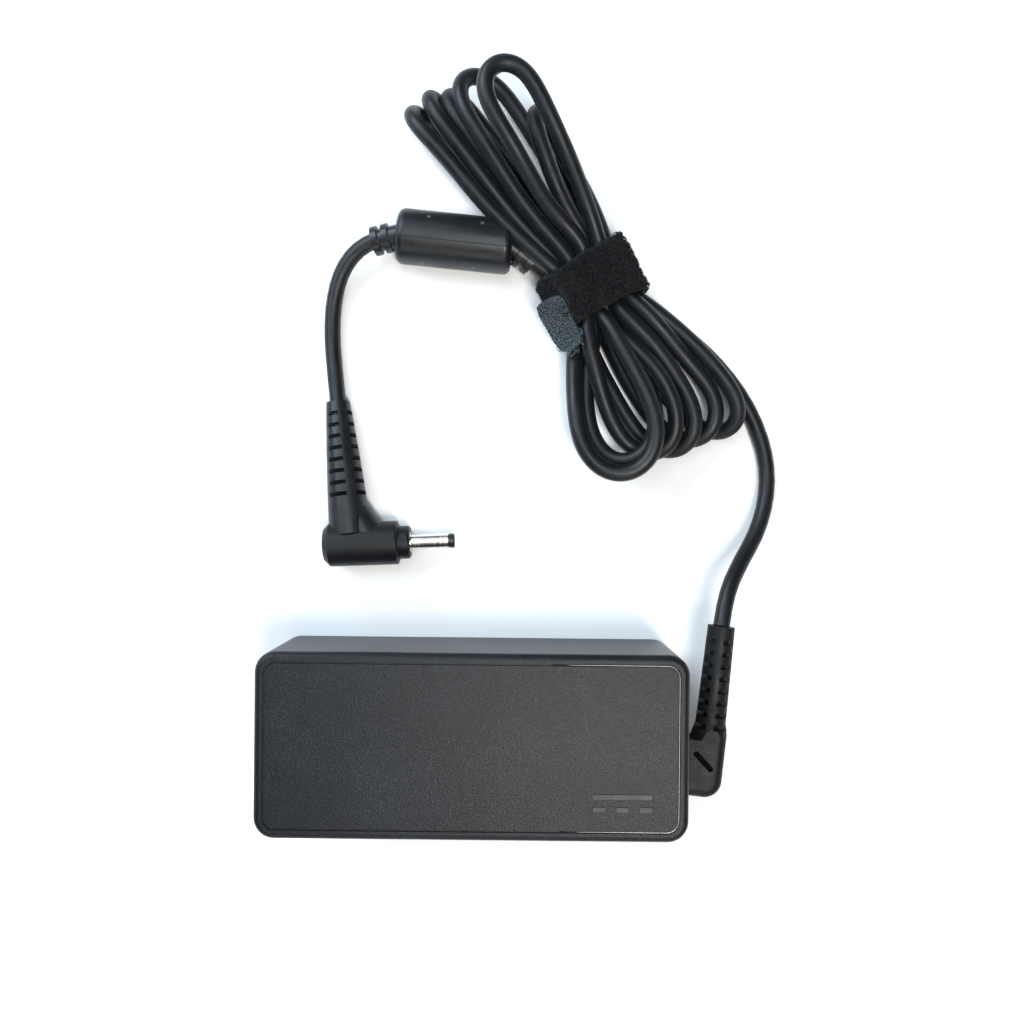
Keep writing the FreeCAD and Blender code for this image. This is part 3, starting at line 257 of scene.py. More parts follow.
def slot_paints():
    """A material for each of the record's slots."""
    metal = {"Metallic": 1.0}
    return {
        "casing_black": casing_paint(),
        "cord_black": jacket_paint("cord_black", (0.0036, 0.0050, 0.0070), 0.42),
        "soft_black": jacket_paint("soft_black", (0.0050, 0.0068, 0.0092), 0.40, Specular_IOR_Level=0.42),
        "plug_black": jacket_paint("plug_black", (0.0042, 0.0050, 0.0064), 0.46, Specular_IOR_Level=0.28),
        "label": moulded_paint("label", (0.045, 0.045, 0.047), 0.45, 0.9, 0.01, 0.2),
        "inlet_plastic": moulded_paint("inlet_plastic", (0.010, 0.010, 0.011), 0.28, 0.5, 0.015, 0.4),
        "plug_insulator": moulded_paint("plug_insulator", (0.010, 0.010, 0.011), 0.30, 0.3, 0.012, 0.4),
        "nickel": moulded_paint("nickel", (0.80, 0.76, 0.68), 0.22, 0.30, 0.0012, 0.05, (1, 0.06, 0.06), **metal),
        "contact_metal": moulded_paint("contact_metal", (0.70, 0.56, 0.28), 0.26, 0.25, 0.006, 0.12,
                                       (1, 0.06, 0.06), **metal),
        "aluminium": moulded_paint("aluminium", (0.70, 0.71, 0.72), 0.38, 0.3, 0.01, 0.10, (0.05, 1, 1), **metal),
        "copper": moulded_paint("copper", (0.60, 0.26, 0.10), 0.30, 0.35, 0.04, 0.2, (1, 1, 1), Metallic=0.9),
        "ferrite": moulded_paint("ferrite", (0.055, 0.055, 0.060), 0.55, 0.35, 0.03, 0.3, Metallic=0.3),
        "board": board_paint(),
        "sheet": moulded_paint("sheet", (0.62, 0.58, 0.47), 0.8, 0.25, 0.02, 0.12),
        "yellow_plastic": moulded_paint("yellow_plastic", (0.66, 0.44, 0.07), 0.35, 0.6, 0.01, 0.15),
        "black_epoxy": moulded_paint("black_epoxy", (0.018, 0.018, 0.018), 0.6, 0.3, 0.02, 0.4),
        "can_sleeve": moulded_paint("can_sleeve", (0.02, 0.03, 0.06), 0.28, 1.2, 0.01, 0.25),
        "bobbin": moulded_paint("bobbin", (0.07, 0.05, 0.035), 0.5, 0.4, 0.02, 0.3),
        "ceramic_blue": moulded_paint("ceramic_blue", (0.05, 0.17, 0.42), 0.3, 0.7, 0.02, 0.2),
        "ceramic_green": moulded_paint("ceramic_green", (0.05, 0.17, 0.09), 0.5, 0.6, 0.02, 0.25),
        "wire_insulation": moulded_paint("wire_insulation", (0.22, 0.025, 0.02), 0.4, 0.4, 0.01, 0.2),
        "strap_fabric": moulded_paint("strap_fabric", (0.0026, 0.0028, 0.0034), 0.9, 0.30, 0.12, 0.7),
        "hook_tape": moulded_paint("hook_tape", (0.008, 0.012, 0.016), 0.7, 0.40, 0.12, 0.8),
    }


# ---------------------------------------------------------------- meshes
def add_piece(name, verts, faces, material, smooth=True):
    """A mesh that rides the object's one body and has a slot."""
    mesh = bpy.data.meshes.new(name)
    mesh.from_pydata([tuple(v) for v in verts], [], faces)
    mesh.validate()
    mesh.polygons.foreach_set("use_smooth", [smooth] * len(mesh.polygons))
    mesh.materials.append(material)
    piece = bpy.data.objects.new(name, mesh)
    bpy.context.scene.collection.objects.link(piece)
    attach(piece, "root")
    return piece


# ---------------------------------------------------------------- cord route
CORD_DIAMETER = 3.8
CORD_RADIUS = CORD_DIAMETER / 2
LEAD_ROUTE = (
    (55.90, 24.80, 14.25),
    (56.90, 31.40, 13.20),
    (60.90, 38.30, 8.80),
    (66.60, 46.60, 4.40),
    (69.30, 56.50, 2.30),
    (68.30, 66.50, 1.95),
    (63.60, 77.40, 1.95),
    (55.40, 87.60, 1.95),
    (46.40, 94.60, 2.40),
)
PLUG_ROUTE = (
    (15.60, 106.70, 4.60),
    (8.60, 112.25, 6.40),
    (-20.60, 114.95, 6.40),
    (-28.00, 112.90, 5.20),
    (-32.90, 107.60, 3.60),
    (-35.10, 100.00, 2.40),
    (-35.40, 91.50, 2.00),
    (-34.60, 83.60, 2.30),
    (-33.60, 75.90, 3.10),
)
HANK_AT = (26.4, 103.0)
HANK_TURN = 30.0
TIE_HALF = 6.4
STRAP_REACH = 12.0

# Each pass over the coil: the spacing of its points, the rounds and the pull back to where it was drawn.
PASSES = ((3.0, 160, 0.02), (2.4, 60, 0.004))
CLEARANCE = 1.02
HELD_MARGIN = 0.4
NEIGHBOUR_REACH = 8.5
TURN_PUSH, END_PUSH, PUSH_LIMIT = 0.35, 0.5, 0.8
STIFFNESS = 0.9
FLOOR_GAP = 0.05

# Each upper and lower loop: lean in degrees, reach, half width, tilt in degrees, height of its middle,
# then the places of its left and right limbs in the tie, across it and above the floor.
LOW, MID, TOP = 3.2, 6.5, 9.8
TIP = 10.0
BOW = 1.2
UPPER_LOOPS = (
    (-16.4, 59.3, 5.0, 62.0, 7.2, (-5.7, TOP), (-5.7, LOW)),
    (-10.8, 59.0, 5.0, 60.0, 7.6, (-3.8, MID), (-1.9, LOW)),
    (-7.8, 56.5, 4.6, 65.0, 7.0, (0.0, MID), (1.9, LOW)),
    (-1.6, 56.3, 6.3, 30.0, 10.8, (-1.9, TOP), (5.7, LOW)),
    (12.0, 43.0, 4.4, 62.0, 9.5, (3.8, MID), (7.6, MID)),
    (3.0, 50.7, 5.0, 8.0, 24.0, (1.9, TOP), (5.7, TOP)),
)
LOWER_LOOPS = (
    (16.0, 47.2, 5.8, 20.0, 5.0, (1.9, LOW), (7.6, MID)),
    (9.0, 44.0, 7.4, 14.0, 4.5, (-1.9, LOW), (5.7, TOP)),
    (-0.5, 43.5, 7.0, 16.0, 6.5, (-5.7, LOW), (1.9, TOP)),
    (-17.0, 42.0, 7.8, 8.0, 8.6, (-3.8, MID), (3.8, MID)),
    (-8.0, 42.0, 7.2, 8.0, 9.4, (-5.7, TOP), (0.0, MID)),
    (-20.5, 44.5, 8.8, 6.0, 14.0, (-7.6, MID), (-1.9, TOP)),
)
TAIL_PLACE = (-7.6, 5.0)
LEAD_PLACE = (5.7, LOW)


def hank_point(across, along, height):
    """A place in the coil's own frame, given across it, along it and above the floor."""
    angle = math.radians(HANK_TURN)
    return np.array((HANK_AT[0] + across * math.cos(angle) - along * math.sin(angle),
                     HANK_AT[1] + across * math.sin(angle) + along * math.cos(angle), height))


def smooth_step(value):
    """A share from 0 to 1 that starts and ends gently."""
    value = min(max(value, 0.0), 1.0)
    return value * value * (3 - 2 * value)


def loop_points(side, lean, reach, half_width, tilt, height, left, right):
    """One loop from its left limb in the tie, round its tip, to its right limb; side is 1 or -1."""
    lean, tilt = math.radians(lean), math.radians(tilt)
    flat, rise = half_width * math.cos(tilt), -side * half_width * math.sin(tilt)
    shoulder = reach - TIP

    def leaned(radius, across, lift):
        return np.array((radius * math.sin(lean) + across * math.cos(lean),
                         radius * math.cos(lean) - across * math.sin(lean), lift))

    def limb(swing, slot):
        start = np.array((slot[0], TIE_HALF, slot[1]))
        end = leaned(shoulder, swing * flat, height + swing * rise)
        for way in np.linspace(0, 1, 9)[:-1]:
            point = start + (end - start) * way
            point[0] += swing * BOW * math.sin(math.pi * way)
            point[2] = start[2] + (end[2] - start[2]) * smooth_step(way)
            yield point

    tip = [leaned(shoulder + TIP * math.sin(angle), -flat * math.cos(angle), height - rise * math.cos(angle))
           for angle in (math.pi * step / 12 for step in range(13))]
    points = [*limb(-1, left), *tip, *reversed(list(limb(1, right)))]
    return [hank_point(across, side * along, lift) for across, along, lift in points]


def coil_points():
    """Six turns: each goes up by its right limb, round the upper tip, down by the left, round the lower."""
    path = [hank_point(LEAD_PLACE[0], -TIE_HALF, LEAD_PLACE[1])]
    for upper, lower in zip(UPPER_LOOPS, LOWER_LOOPS):
        path += loop_points(1, *upper)[::-1]
        path += loop_points(-1, *lower)
    path.append(hank_point(TAIL_PLACE[0], TIE_HALF, TAIL_PLACE[1]))
    return np.array(path)


def evenly_spaced(path, step):
    """The same line with its points about a step apart."""
    lengths = np.concatenate([[0], np.cumsum(np.linalg.norm(np.diff(path, axis=0), axis=1))])
    places = np.linspace(0, lengths[-1], int(round(lengths[-1] / step)) + 1)
    return np.stack([np.interp(places, lengths, path[:, axis]) for axis in range(3)], axis=1)


def push_apart(path, others, skip):
    """How far each point moves to get a cord's width away from the others; skip bars neighbours."""
    gap = path[:, None, :] - others[None, :, :]
    distance = np.linalg.norm(gap, axis=2) + 1e-9
    overlap = np.clip(CORD_DIAMETER * CLEARANCE - distance, 0, None) * ~skip
    return (gap / distance[..., None] * overlap[..., None]).sum(axis=1)


def keep_lengths(path, free, step):
    """Brings each short run of cord back to its own length."""
    for first in (0, 1, 0, 1):
        ends = path[first:-1:2], path[first + 1::2]
        count = min(len(ends[0]), len(ends[1]))
        way = ends[1][:count] - ends[0][:count]
        length = np.linalg.norm(way, axis=1, keepdims=True) + 1e-9
        weight_a, weight_b = free[first:-1:2][:count], free[first + 1::2][:count]
        share = (length - step) / length / np.maximum(weight_a + weight_b, 1e-9)
        ends[0][:count] += way * share * weight_a
        ends[1][:count] -= way * share * weight_b


def settle(path, rounds, step, anchor):
    """Lets the turns push each other apart, as an elastic line on the floor.

    The points inside the tie keep their drawn places and aren't pushed apart, so turns may overlap there.
    """
    start = path.copy()
    count = len(path)
    angle = math.radians(HANK_TURN)
    along = -(path[:, 0] - HANK_AT[0]) * math.sin(angle) + (path[:, 1] - HANK_AT[1]) * math.cos(angle)
    across = (path[:, 0] - HANK_AT[0]) * math.cos(angle) + (path[:, 1] - HANK_AT[1]) * math.sin(angle)
    held = (np.abs(along) < TIE_HALF + HELD_MARGIN) & (np.abs(across) < STRAP_REACH)
    held[0] = held[-1] = True
    free = (~held).astype(float)[:, None]
    order = np.arange(count)
    close = np.abs(np.subtract.outer(order, order)) * step < NEIGHBOUR_REACH
    close |= np.logical_and.outer(held, held)
    others = np.vstack([evenly_spaced(np.array(route), 2.0) for route in (LEAD_ROUTE[4:], PLUG_ROUTE)])
    joined = np.zeros((count, len(others)), dtype=bool)
    joined[:4] = joined[-4:] = True
    for _ in range(rounds):
        push = push_apart(path, path, close) * TURN_PUSH + push_apart(path, others, joined) * END_PUSH
        path = path + np.clip(push, -PUSH_LIMIT, PUSH_LIMIT) * free
        bend = np.zeros_like(path)
        bend[2:-2] = (4 * (path[1:-3] + path[3:-1]) - 6 * path[2:-2] - path[:-4] - path[4:]) / 16
        path = path + (bend * STIFFNESS + (start - path) * anchor) * free
        keep_lengths(path, free, step)
        path[:, 2] = np.where(held, path[:, 2], np.maximum(path[:, 2], CORD_RADIUS + FLOOR_GAP))
    return path


def cord_line():
    """Control points of the whole cord, from the elbow to the plug, in millimetres."""
    coil = coil_points()
    for step, rounds, anchor in PASSES:
        coil = evenly_spaced(coil, step)
        step = np.linalg.norm(np.diff(coil, axis=0), axis=1).mean()
        coil = settle(coil, rounds, step, anchor)
    return np.vstack([np.array(LEAD_ROUTE), coil, np.array(PLUG_ROUTE)])


def measured_length(curve_object):
    """The length of a curve's own line, read from it with no bevel."""
    depth = curve_object.data.bevel_depth
    curve_object.data.bevel_depth = 0.0
    line = bpy.data.meshes.new_from_object(curve_object)
    curve_object.data.bevel_depth = depth
    points = np.array([v.co for v in line.vertices])
    return float(np.linalg.norm(np.diff(points, axis=0), axis=1).sum())


def add_cord(material):
    """The whole cord as one round tube, and its length in metres."""
    points = cord_line() * MM
    data = bpy.data.curves.new("output_cord", "CURVE")
    data.dimensions = "3D"
    data.bevel_depth = 1.0
    data.bevel_resolution = 7
    data.resolution_u = 3
    data.use_fill_caps = True
    spline = data.splines.new("NURBS")
    spline.points.add(len(points) - 1)
    for control, place in zip(spline.points, points):
        control.co = (*place, 1.0)
        # The tube's radius is bevel_depth times this, and a curve's bounding box is padded by this alone.
        control.radius = CORD_RADIUS * MM
    spline.order_u = 3
    spline.use_endpoint_u = True
    data.materials.append(material)
    cord = bpy.data.objects.new("output_cord", data)
    bpy.context.scene.collection.objects.link(cord)
    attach(cord, "root")
    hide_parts("cord_lead", "cord_hank", "cord_plug_run")
    bpy.context.view_layer.update()
    return cord, measured_length(cord)


# ---------------------------------------------------------------- strap
BAND_HALF = 6.5
BAND_SPAN, BAND_HEIGHT, BAND_THICK = 22.0, 13.4, 1.3
BAND_POWER = 4.2
BAND_STEPS, BAND_ROWS = 120, 18
# How far the fabric's edges wander and its middle drifts, and how high it waves and its edges curl.
BAND_WANDER, BAND_DRIFT, BAND_WAVES, BAND_CURL = (0.35, 0.20), 0.5, (0.28, 0.18), 0.35
BAND_FLAT_BELOW = 0.6
# Threads: their sizes, thickness and the span of their arcs in degrees.
PILE_LOOPS, PILE_FROM, PILE_LEAN = 2300, 0.9, 0.35
PILE_SIZES, PILE_THREAD, PILE_SPAN = (0.28, 0.60), 0.15, (-50, 230)
EDGE_SIZE, EDGE_THREAD, EDGE_SPAN = 0.26, 0.20, (-70, 160)


def band_outline(count):
    """Points and outward directions round the tied strap, across the coil and above the floor."""
    half, tall = BAND_SPAN / 2, BAND_HEIGHT / 2
    points, directions = [], []
    for turn in np.arange(count) / count * 2 * math.pi:
        way = np.array((math.cos(turn), math.sin(turn)))
        reach = 1 / (abs(way[0] / half) ** BAND_POWER + abs(way[1] / tall) ** BAND_POWER) ** (1 / BAND_POWER)
        point = way * reach
        slope = np.sign(point) * np.abs(point / (half, tall)) ** (BAND_POWER - 1) / (half, tall)
        points.append(point + (0, BAND_HEIGHT / 2))
        directions.append(slope / np.linalg.norm(slope))
    return np.array(points), np.array(directions)


def band_shape():
    """The strap's outer surface as a grid round it and along the coil, with its outward directions."""
    outline, out = band_outline(BAND_STEPS)
    turn = np.arange(BAND_STEPS) / BAND_STEPS * 2 * math.pi
    rows = np.linspace(-1, 1, BAND_ROWS)
    grid, ways = [], []
    for index in range(BAND_STEPS):
        top = max(out[index][1], 0)
        width = (BAND_HALF + BAND_WANDER[0] * math.sin(2 * turn[index] + 0.8)
                 + BAND_WANDER[1] * math.sin(5 * turn[index]))
        drift = BAND_DRIFT * math.sin(turn[index] + 0.4)
        for row in rows:
            wave = (BAND_WAVES[0] * math.sin(3 * turn[index] + 2.2 * row)
                    + BAND_WAVES[1] * math.sin(7 * turn[index] - 3 * row + 1))
            curl = BAND_CURL * abs(row) ** 6
            lift = wave * (0.4 + 0.6 * top) - curl * top if outline[index][1] > BAND_FLAT_BELOW else 0.0
            place = outline[index] + out[index] * lift
            grid.append((place[0], row * width + drift, max(place[1], 0.02)))
            ways.append((out[index][0], 0.25 * row ** 5, out[index][1]))
    return np.array(grid).reshape(BAND_STEPS, BAND_ROWS, 3), np.array(ways).reshape(BAND_STEPS, BAND_ROWS, 3)


def to_world(points):
    """Places in the coil's own frame, in millimetres, as places in the scene."""
    return [Vector(hank_point(*point)) * MM for point in points]


def add_band(material):
    """The strap's fabric, a closed ring with a thickness."""
    outer, out = band_shape()
    inner = outer - out * BAND_THICK * (1, 0, 1)
    inner[..., 2] = np.maximum(inner[..., 2], 0.25)
    verts = np.concatenate([outer.reshape(-1, 3), inner.reshape(-1, 3)])
    half = BAND_STEPS * BAND_ROWS
    faces = []
    for step in range(BAND_STEPS):
        here, there = step * BAND_ROWS, (step + 1) % BAND_STEPS * BAND_ROWS
        for row in range(BAND_ROWS - 1):
            faces.append((here + row, here + row + 1, there + row + 1, there + row))
            faces.append((half + here + row, half + there + row, half + there + row + 1, half + here + row + 1))
        for row in (0, BAND_ROWS - 1):
            rim = (here + row, there + row, half + there + row, half + here + row)
            faces.append(rim if row == 0 else rim[::-1])
    band = add_piece("strap", to_world(verts), faces, material)
    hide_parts("strap_band")
    return band


def thread_mesh(starts, ways, sizes, thickness, span, steps, asides=None):
    """Short curled threads: each an arc in the plane of its outward way and a random side way."""
    count = len(starts)
    if asides is None:
        asides = rng.normal(size=(count, 3))
    asides = asides - ways * (asides * ways).sum(axis=1, keepdims=True)
    asides /= np.linalg.norm(asides, axis=1, keepdims=True)
    thirds = np.cross(ways, asides)
    turns = np.radians(np.linspace(*span, steps))
    rings = []
    for turn in turns:
        rise, run = sizes * (0.45 + math.sin(turn)), sizes * math.cos(turn)
        centre = starts + ways * rise[:, None] + asides * run[:, None]
        centre = centre + thirds * (sizes * 0.35 * math.sin(2 * turn))[:, None]
        radial = ways * math.sin(turn) + asides * math.cos(turn)
        for side in (0, 2 * math.pi / 3, 4 * math.pi / 3):
            rings.append(centre + (radial * math.cos(side) + thirds * math.sin(side)) * thickness / 2)
    verts = np.stack(rings, axis=1).reshape(-1, 3)
    faces = []
    for thread in range(count):
        base = thread * steps * 3
        for step in range(steps - 1):
            for side in range(3):
                first, second = base + step * 3 + side, base + step * 3 + (side + 1) % 3
                faces.append((first, second, second + 3, first + 3))
        faces.append((base + 2, base + 1, base))
        last = base + (steps - 1) * 3
        faces.append((last, last + 1, last + 2))
    return verts, faces


def add_threads(name, starts, ways, sizes, thickness, span, steps, material, asides=None):
    """A piece made of many threads, none of them below the floor."""
    ways = ways / np.linalg.norm(ways, axis=1, keepdims=True)
    verts, faces = thread_mesh(starts, ways, sizes, thickness, span, steps, asides)
    verts[:, 2] = np.maximum(verts[:, 2], 0.02)
    return add_piece(name, to_world(verts), faces, material)


def add_pile(pile_material, edge_material):
    """The loop pile over the strap's outside, and the woven edges on both sides of it."""
    grid, out = band_shape()
    step = rng.uniform(0, BAND_STEPS, PILE_LOOPS * 2)
    row = rng.uniform(0, BAND_ROWS - 1.001, PILE_LOOPS * 2)
    low, along = row.astype(int), (row % 1)[:, None]
    here = step.astype(int)
    there, turn = (here + 1) % BAND_STEPS, (step % 1)[:, None]
    starts = ((grid[here, low] * (1 - along) + grid[here, low + 1] * along) * (1 - turn)
              + (grid[there, low] * (1 - along) + grid[there, low + 1] * along) * turn)
    ways = out[here, low]
    above = starts[:, 2] > PILE_FROM
    starts, ways = starts[above][:PILE_LOOPS], ways[above][:PILE_LOOPS]
    ways = ways + rng.normal(scale=PILE_LEAN, size=ways.shape)
    sizes = rng.uniform(*PILE_SIZES, len(starts))
    pile = add_threads("strap_pile", starts, ways, sizes, PILE_THREAD, PILE_SPAN, 7, pile_material)
    edges, edge_ways, asides = [], [], []
    for row in (0, BAND_ROWS - 1):
        for index in range(BAND_STEPS):
            if grid[index, row][2] > 0.5:
                edges.append(grid[index, row] - out[index, row] * (0.25, 0, 0.25))
                edge_ways.append((out[index, row][0] * 0.5, -1.0 if row == 0 else 1.0, out[index, row][2] * 0.5))
                asides.append((out[index, row][0], 0.0, out[index, row][2]))
    weave = add_threads("strap_woven_edge", np.array(edges), np.array(edge_ways), np.full(len(edges), EDGE_SIZE),
                        EDGE_THREAD, EDGE_SPAN, 5, edge_material, np.array(asides))
    return [pile, weave]


# ---------------------------------------------------------------- hook tab
TAB_MIDDLE = (-11.5, -4.4)
TAB_HALF = (3.15, 6.35)
TAB_TURN = 5.0
TAB_THICK = 1.1
TAB_TOP, TAB_SHOULDER = 13.3, -8.0
# How far its ends and sides round in, its skew, its fall past the shoulder, its ripple and its tilt.
TAB_ROUNDING, TAB_SKEW, TAB_FALL, TAB_RIPPLE, TAB_TILT = (0.30, 0.16), 0.55, (0.055, 0.12), 0.22, 0.35
TAB_COLUMNS, TAB_ROWS = 17, 29
HOOK_PITCH, HOOK_JITTER, HOOK_LEAN = 0.52, 0.03, 0.12
HOOK_SIZES, HOOK_THREAD, HOOK_SPAN = (0.20, 0.32), 0.18, (-60, 170)
FUZZ_PLACES = ((-0.9, -1), (-0.6, -1), (-0.3, -1), (-1, -0.85), (0.95, -0.6), (1, -0.9), (1, 0.1), (0.2, -1))
FUZZ_JITTER, FUZZ_LEAN = 0.12, 0.5
FUZZ_SIZES, FUZZ_THREAD, FUZZ_SPAN = (0.3, 0.75), 0.09, (-60, 150)


def tab_point(across, along):
    """A place on the tab's top, from -1 to 1 across it and along it, and its outward way."""
    def place(u, v):
        x = TAB_HALF[0] * u * math.sqrt(1 - TAB_ROUNDING[0] * v ** 4)
        y = TAB_HALF[1] * v * math.sqrt(1 - TAB_ROUNDING[1] * u ** 4)
        x -= TAB_SKEW * v * (1 - u) / 2
        turn = math.radians(TAB_TURN)
        side = TAB_MIDDLE[0] + x * math.cos(turn) + y * math.sin(turn)
        length = TAB_MIDDLE[1] - x * math.sin(turn) + y * math.cos(turn)
        fall = max(TAB_SHOULDER - side, 0.0)
        lift = (TAB_TOP - TAB_FALL[0] * fall ** 2 - TAB_FALL[1] * fall
                + TAB_RIPPLE * math.sin(0.9 * length + 0.5 * side))
        return np.array((side, length, lift + TAB_TILT * (1 - v) / 2))

    here = place(across, along)
    way = np.cross(place(across + 0.05, along) - here, place(across, along + 0.05) - here)
    return here, way / np.linalg.norm(way)


def add_tab(material, hook_material):
    """The strap's loose end: its tape, the hooks on it and the fuzz caught on its edges."""
    verts = []
    for layer in (0, 1):
        for row in np.linspace(-1, 1, TAB_ROWS):
            for column in np.linspace(-1, 1, TAB_COLUMNS):
                point, way = tab_point(column, row)
                verts.append(point - way * TAB_THICK * layer)
    half = TAB_ROWS * TAB_COLUMNS
    faces = []
    for row in range(TAB_ROWS - 1):
        for column in range(TAB_COLUMNS - 1):
            first = row * TAB_COLUMNS + column
            quad = (first, first + 1, first + 1 + TAB_COLUMNS, first + TAB_COLUMNS)
            faces.append(quad)
            faces.append(tuple(half + corner for corner in quad[::-1]))
    rim = (list(range(TAB_COLUMNS))
           + [row * TAB_COLUMNS + TAB_COLUMNS - 1 for row in range(1, TAB_ROWS)]
           + [(TAB_ROWS - 1) * TAB_COLUMNS + column for column in range(TAB_COLUMNS - 2, -1, -1)]
           + [row * TAB_COLUMNS for row in range(TAB_ROWS - 2, 0, -1)])
    for first, second in zip(rim, rim[1:] + rim[:1]):
        faces.append((first, half + first, half + second, second))
    tab = add_piece("strap_hook_tab", to_world(verts), faces, material)
    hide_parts("strap_tab")
    starts, ways = [], []
    for row in np.arange(-0.97, 0.98, HOOK_PITCH / TAB_HALF[1]):
        for column in np.arange(-0.95, 0.96, HOOK_PITCH / TAB_HALF[0]):
            point, way = tab_point(*(np.array((column, row)) + rng.uniform(-HOOK_JITTER, HOOK_JITTER, 2)))
            starts.append(point - way * 0.10)
            ways.append(way + rng.normal(scale=HOOK_LEAN, size=3))
    hooks = add_threads("strap_hooks", np.array(starts), np.array(ways), rng.uniform(*HOOK_SIZES, len(starts)),
                        HOOK_THREAD, HOOK_SPAN, 5, hook_material)
    starts, ways = [], []
    for corner in FUZZ_PLACES:
        for _ in range(5):
            point, way = tab_point(*(np.array(corner) + rng.uniform(-FUZZ_JITTER, FUZZ_JITTER, 2)))
            starts.append(point - way * 0.5)
            ways.append(np.array((corner[0] * 0.6, corner[1], 0.2)) + rng.normal(scale=FUZZ_LEAN, size=3))
    fuzz = add_threads("strap_fuzz", np.array(starts), np.array(ways), rng.uniform(*FUZZ_SIZES, len(starts)),
                       FUZZ_THREAD, FUZZ_SPAN, 7, hook_material)
    return [tab, hooks, fuzz]


# ---------------------------------------------------------------- bead details
BEAD_AT, BEAD_TURN = (-5.95, 113.57, 6.4), -5.3
BEAD_RADIUS, BEAD_LENGTH, BEAD_ROUND = 6.4, 27.0, 1.7
# The parting line's section, and the rings of a pin's mark as radius and lift.
PARTING_SECTION = ((12.2, -0.02), (13.2, 0.035), (13.8, 0.035), (14.8, -0.02))
PIN_PLACES = ((-6.1, -36.0), (6.3, -33.0), (-7.0, 74.0), (5.0, 74.0))
PIN_RINGS = ((0.50, -0.05), (0.47, 0.05), (0.36, 0.055), (0.28, 0.01), (0.10, 0.0))
PIN_SIDES = 16


def bead_place(along, angle, lift):
    """A place on the bead: along its axis from its middle, degrees from its top towards the brick, and lift."""
    turn, angle = math.radians(BEAD_TURN), math.radians(angle)
    reach = BEAD_RADIUS + lift
    aside = -reach * math.sin(angle)
    return Vector((BEAD_AT[0] + along * math.cos(turn) - aside * math.sin(turn),
                   BEAD_AT[1] + along * math.sin(turn) + aside * math.cos(turn),
                   BEAD_AT[2] + reach * math.cos(angle))) * MM


def add_bead_details(line_material, mark_material):
    """The mould's parting line along the bead, and the four marks of the pins that held its core."""
    verts, faces = [], []
    places = np.linspace(-1, 1, 60) * (BEAD_LENGTH / 2 - BEAD_ROUND * 0.7)
    for along in places:
        for angle, lift in PARTING_SECTION:
            verts.append(bead_place(along, angle, lift))
    for step in range(len(places) - 1):
        for column in range(3):
            first = step * 4 + column
            faces.append((first, first + 1, first + 5, first + 4))
        faces.append((step * 4 + 3, step * 4, step * 4 + 4, step * 4 + 7))
    faces += [(0, 3, 2, 1), tuple(len(verts) - 4 + corner for corner in (0, 1, 2, 3))]
    add_piece("bead_parting_line", verts, faces, line_material)
    verts, faces = [], []
    for along, angle in PIN_PLACES:
        base = len(verts)
        for radius, lift in PIN_RINGS:
            for turn in np.arange(PIN_SIDES) / PIN_SIDES * 2 * math.pi:
                across = math.degrees(radius * math.sin(turn) / BEAD_RADIUS)
                verts.append(bead_place(along + radius * math.cos(turn), angle + across, lift))
        for ring in range(len(PIN_RINGS) - 1):
            row = base + ring * PIN_SIDES
            for step in range(PIN_SIDES):
                first, second = row + step, row + (step + 1) % PIN_SIDES
                faces.append((first, first + PIN_SIDES, second + PIN_SIDES, second))
        last = base + (len(PIN_RINGS) - 1) * PIN_SIDES
        faces.append(tuple(range(last, last + PIN_SIDES))[::-1])
        faces.append(tuple(range(base, base + PIN_SIDES)))
    add_piece("bead_pin_marks", verts, faces, mark_material)


# ---------------------------------------------------------------- polished line in the panel's groove
GROOVE_HALF = (44.25, 17.75)
GROOVE_ROUND, GROOVE_WIDTH, GROOVE_TOP = 2.55, 0.46, 28.40
GROOVE_FROM = 19.0


def add_groove_line(material):
    """A fine polished strip, barely crowned, in the groove round the panel's right-hand half."""
    straight_x, straight_y = GROOVE_HALF[0] - GROOVE_ROUND, GROOVE_HALF[1] - GROOVE_ROUND
    path = [(GROOVE_FROM, -straight_y, -90, 0.15), (GROOVE_FROM + 4, -straight_y, -90, 1)]
    path += [(straight_x, -straight_y, turn, 1) for turn in np.linspace(-90, 0, 9)]
    path += [(straight_x, straight_y, turn, 1) for turn in np.linspace(0, 90, 9)]
    path += [(GROOVE_FROM + 2, straight_y, 90, 1), (GROOVE_FROM - 2, straight_y, 90, 0.15)]
    section = [(across / 2, -0.05 * across ** 2) for across in (-1, -0.5, 0, 0.5, 1)] + [(0.5, -0.3), (-0.5, -0.3)]
    verts = []
    for x, y, turn, share in path:
        angle = math.radians(turn)
        for across, lift in section:
            out = GROOVE_ROUND + across * GROOVE_WIDTH * share
            verts.append(Vector((x + out * math.cos(angle), y + out * math.sin(angle), GROOVE_TOP + lift)) * MM)
    size, count = len(section), len(path)
    faces = [(step * size + (side + 1) % size, (step + 1) * size + (side + 1) % size, (step + 1) * size + side,
              step * size + side) for step in range(count - 1) for side in range(size)]
    faces += [tuple(range(size))[::-1], tuple(range((count - 1) * size, count * size))]
    add_piece("panel_groove_line", verts, faces, material)


# ---------------------------------------------------------------- raised symbol and vent
SYMBOL_AT = (32.2, -11.5)
SYMBOL_LENGTH, SYMBOL_STROKE, SYMBOL_GAP, SYMBOL_TOP = 12.5, 0.95, 1.35, 28.7
SYMBOL_SPREAD, SYMBOL_SINK, SYMBOL_RISE = 0.03, 0.16, 0.04
VENT_AT, VENT_TURN = (51.4, -5.1), -47
VENT_LENGTH, VENT_WIDTH, VENT_TOP = 5.9, 1.3, 17.87
# The vent's near-black insert is painted shade: its rounded ends' radius, and its bottom and top below the root's
# top.
VENT_SHADE_RADIUS, VENT_SHADE_LOW, VENT_SHADE_HIGH = 0.56, 2.9, 1.1


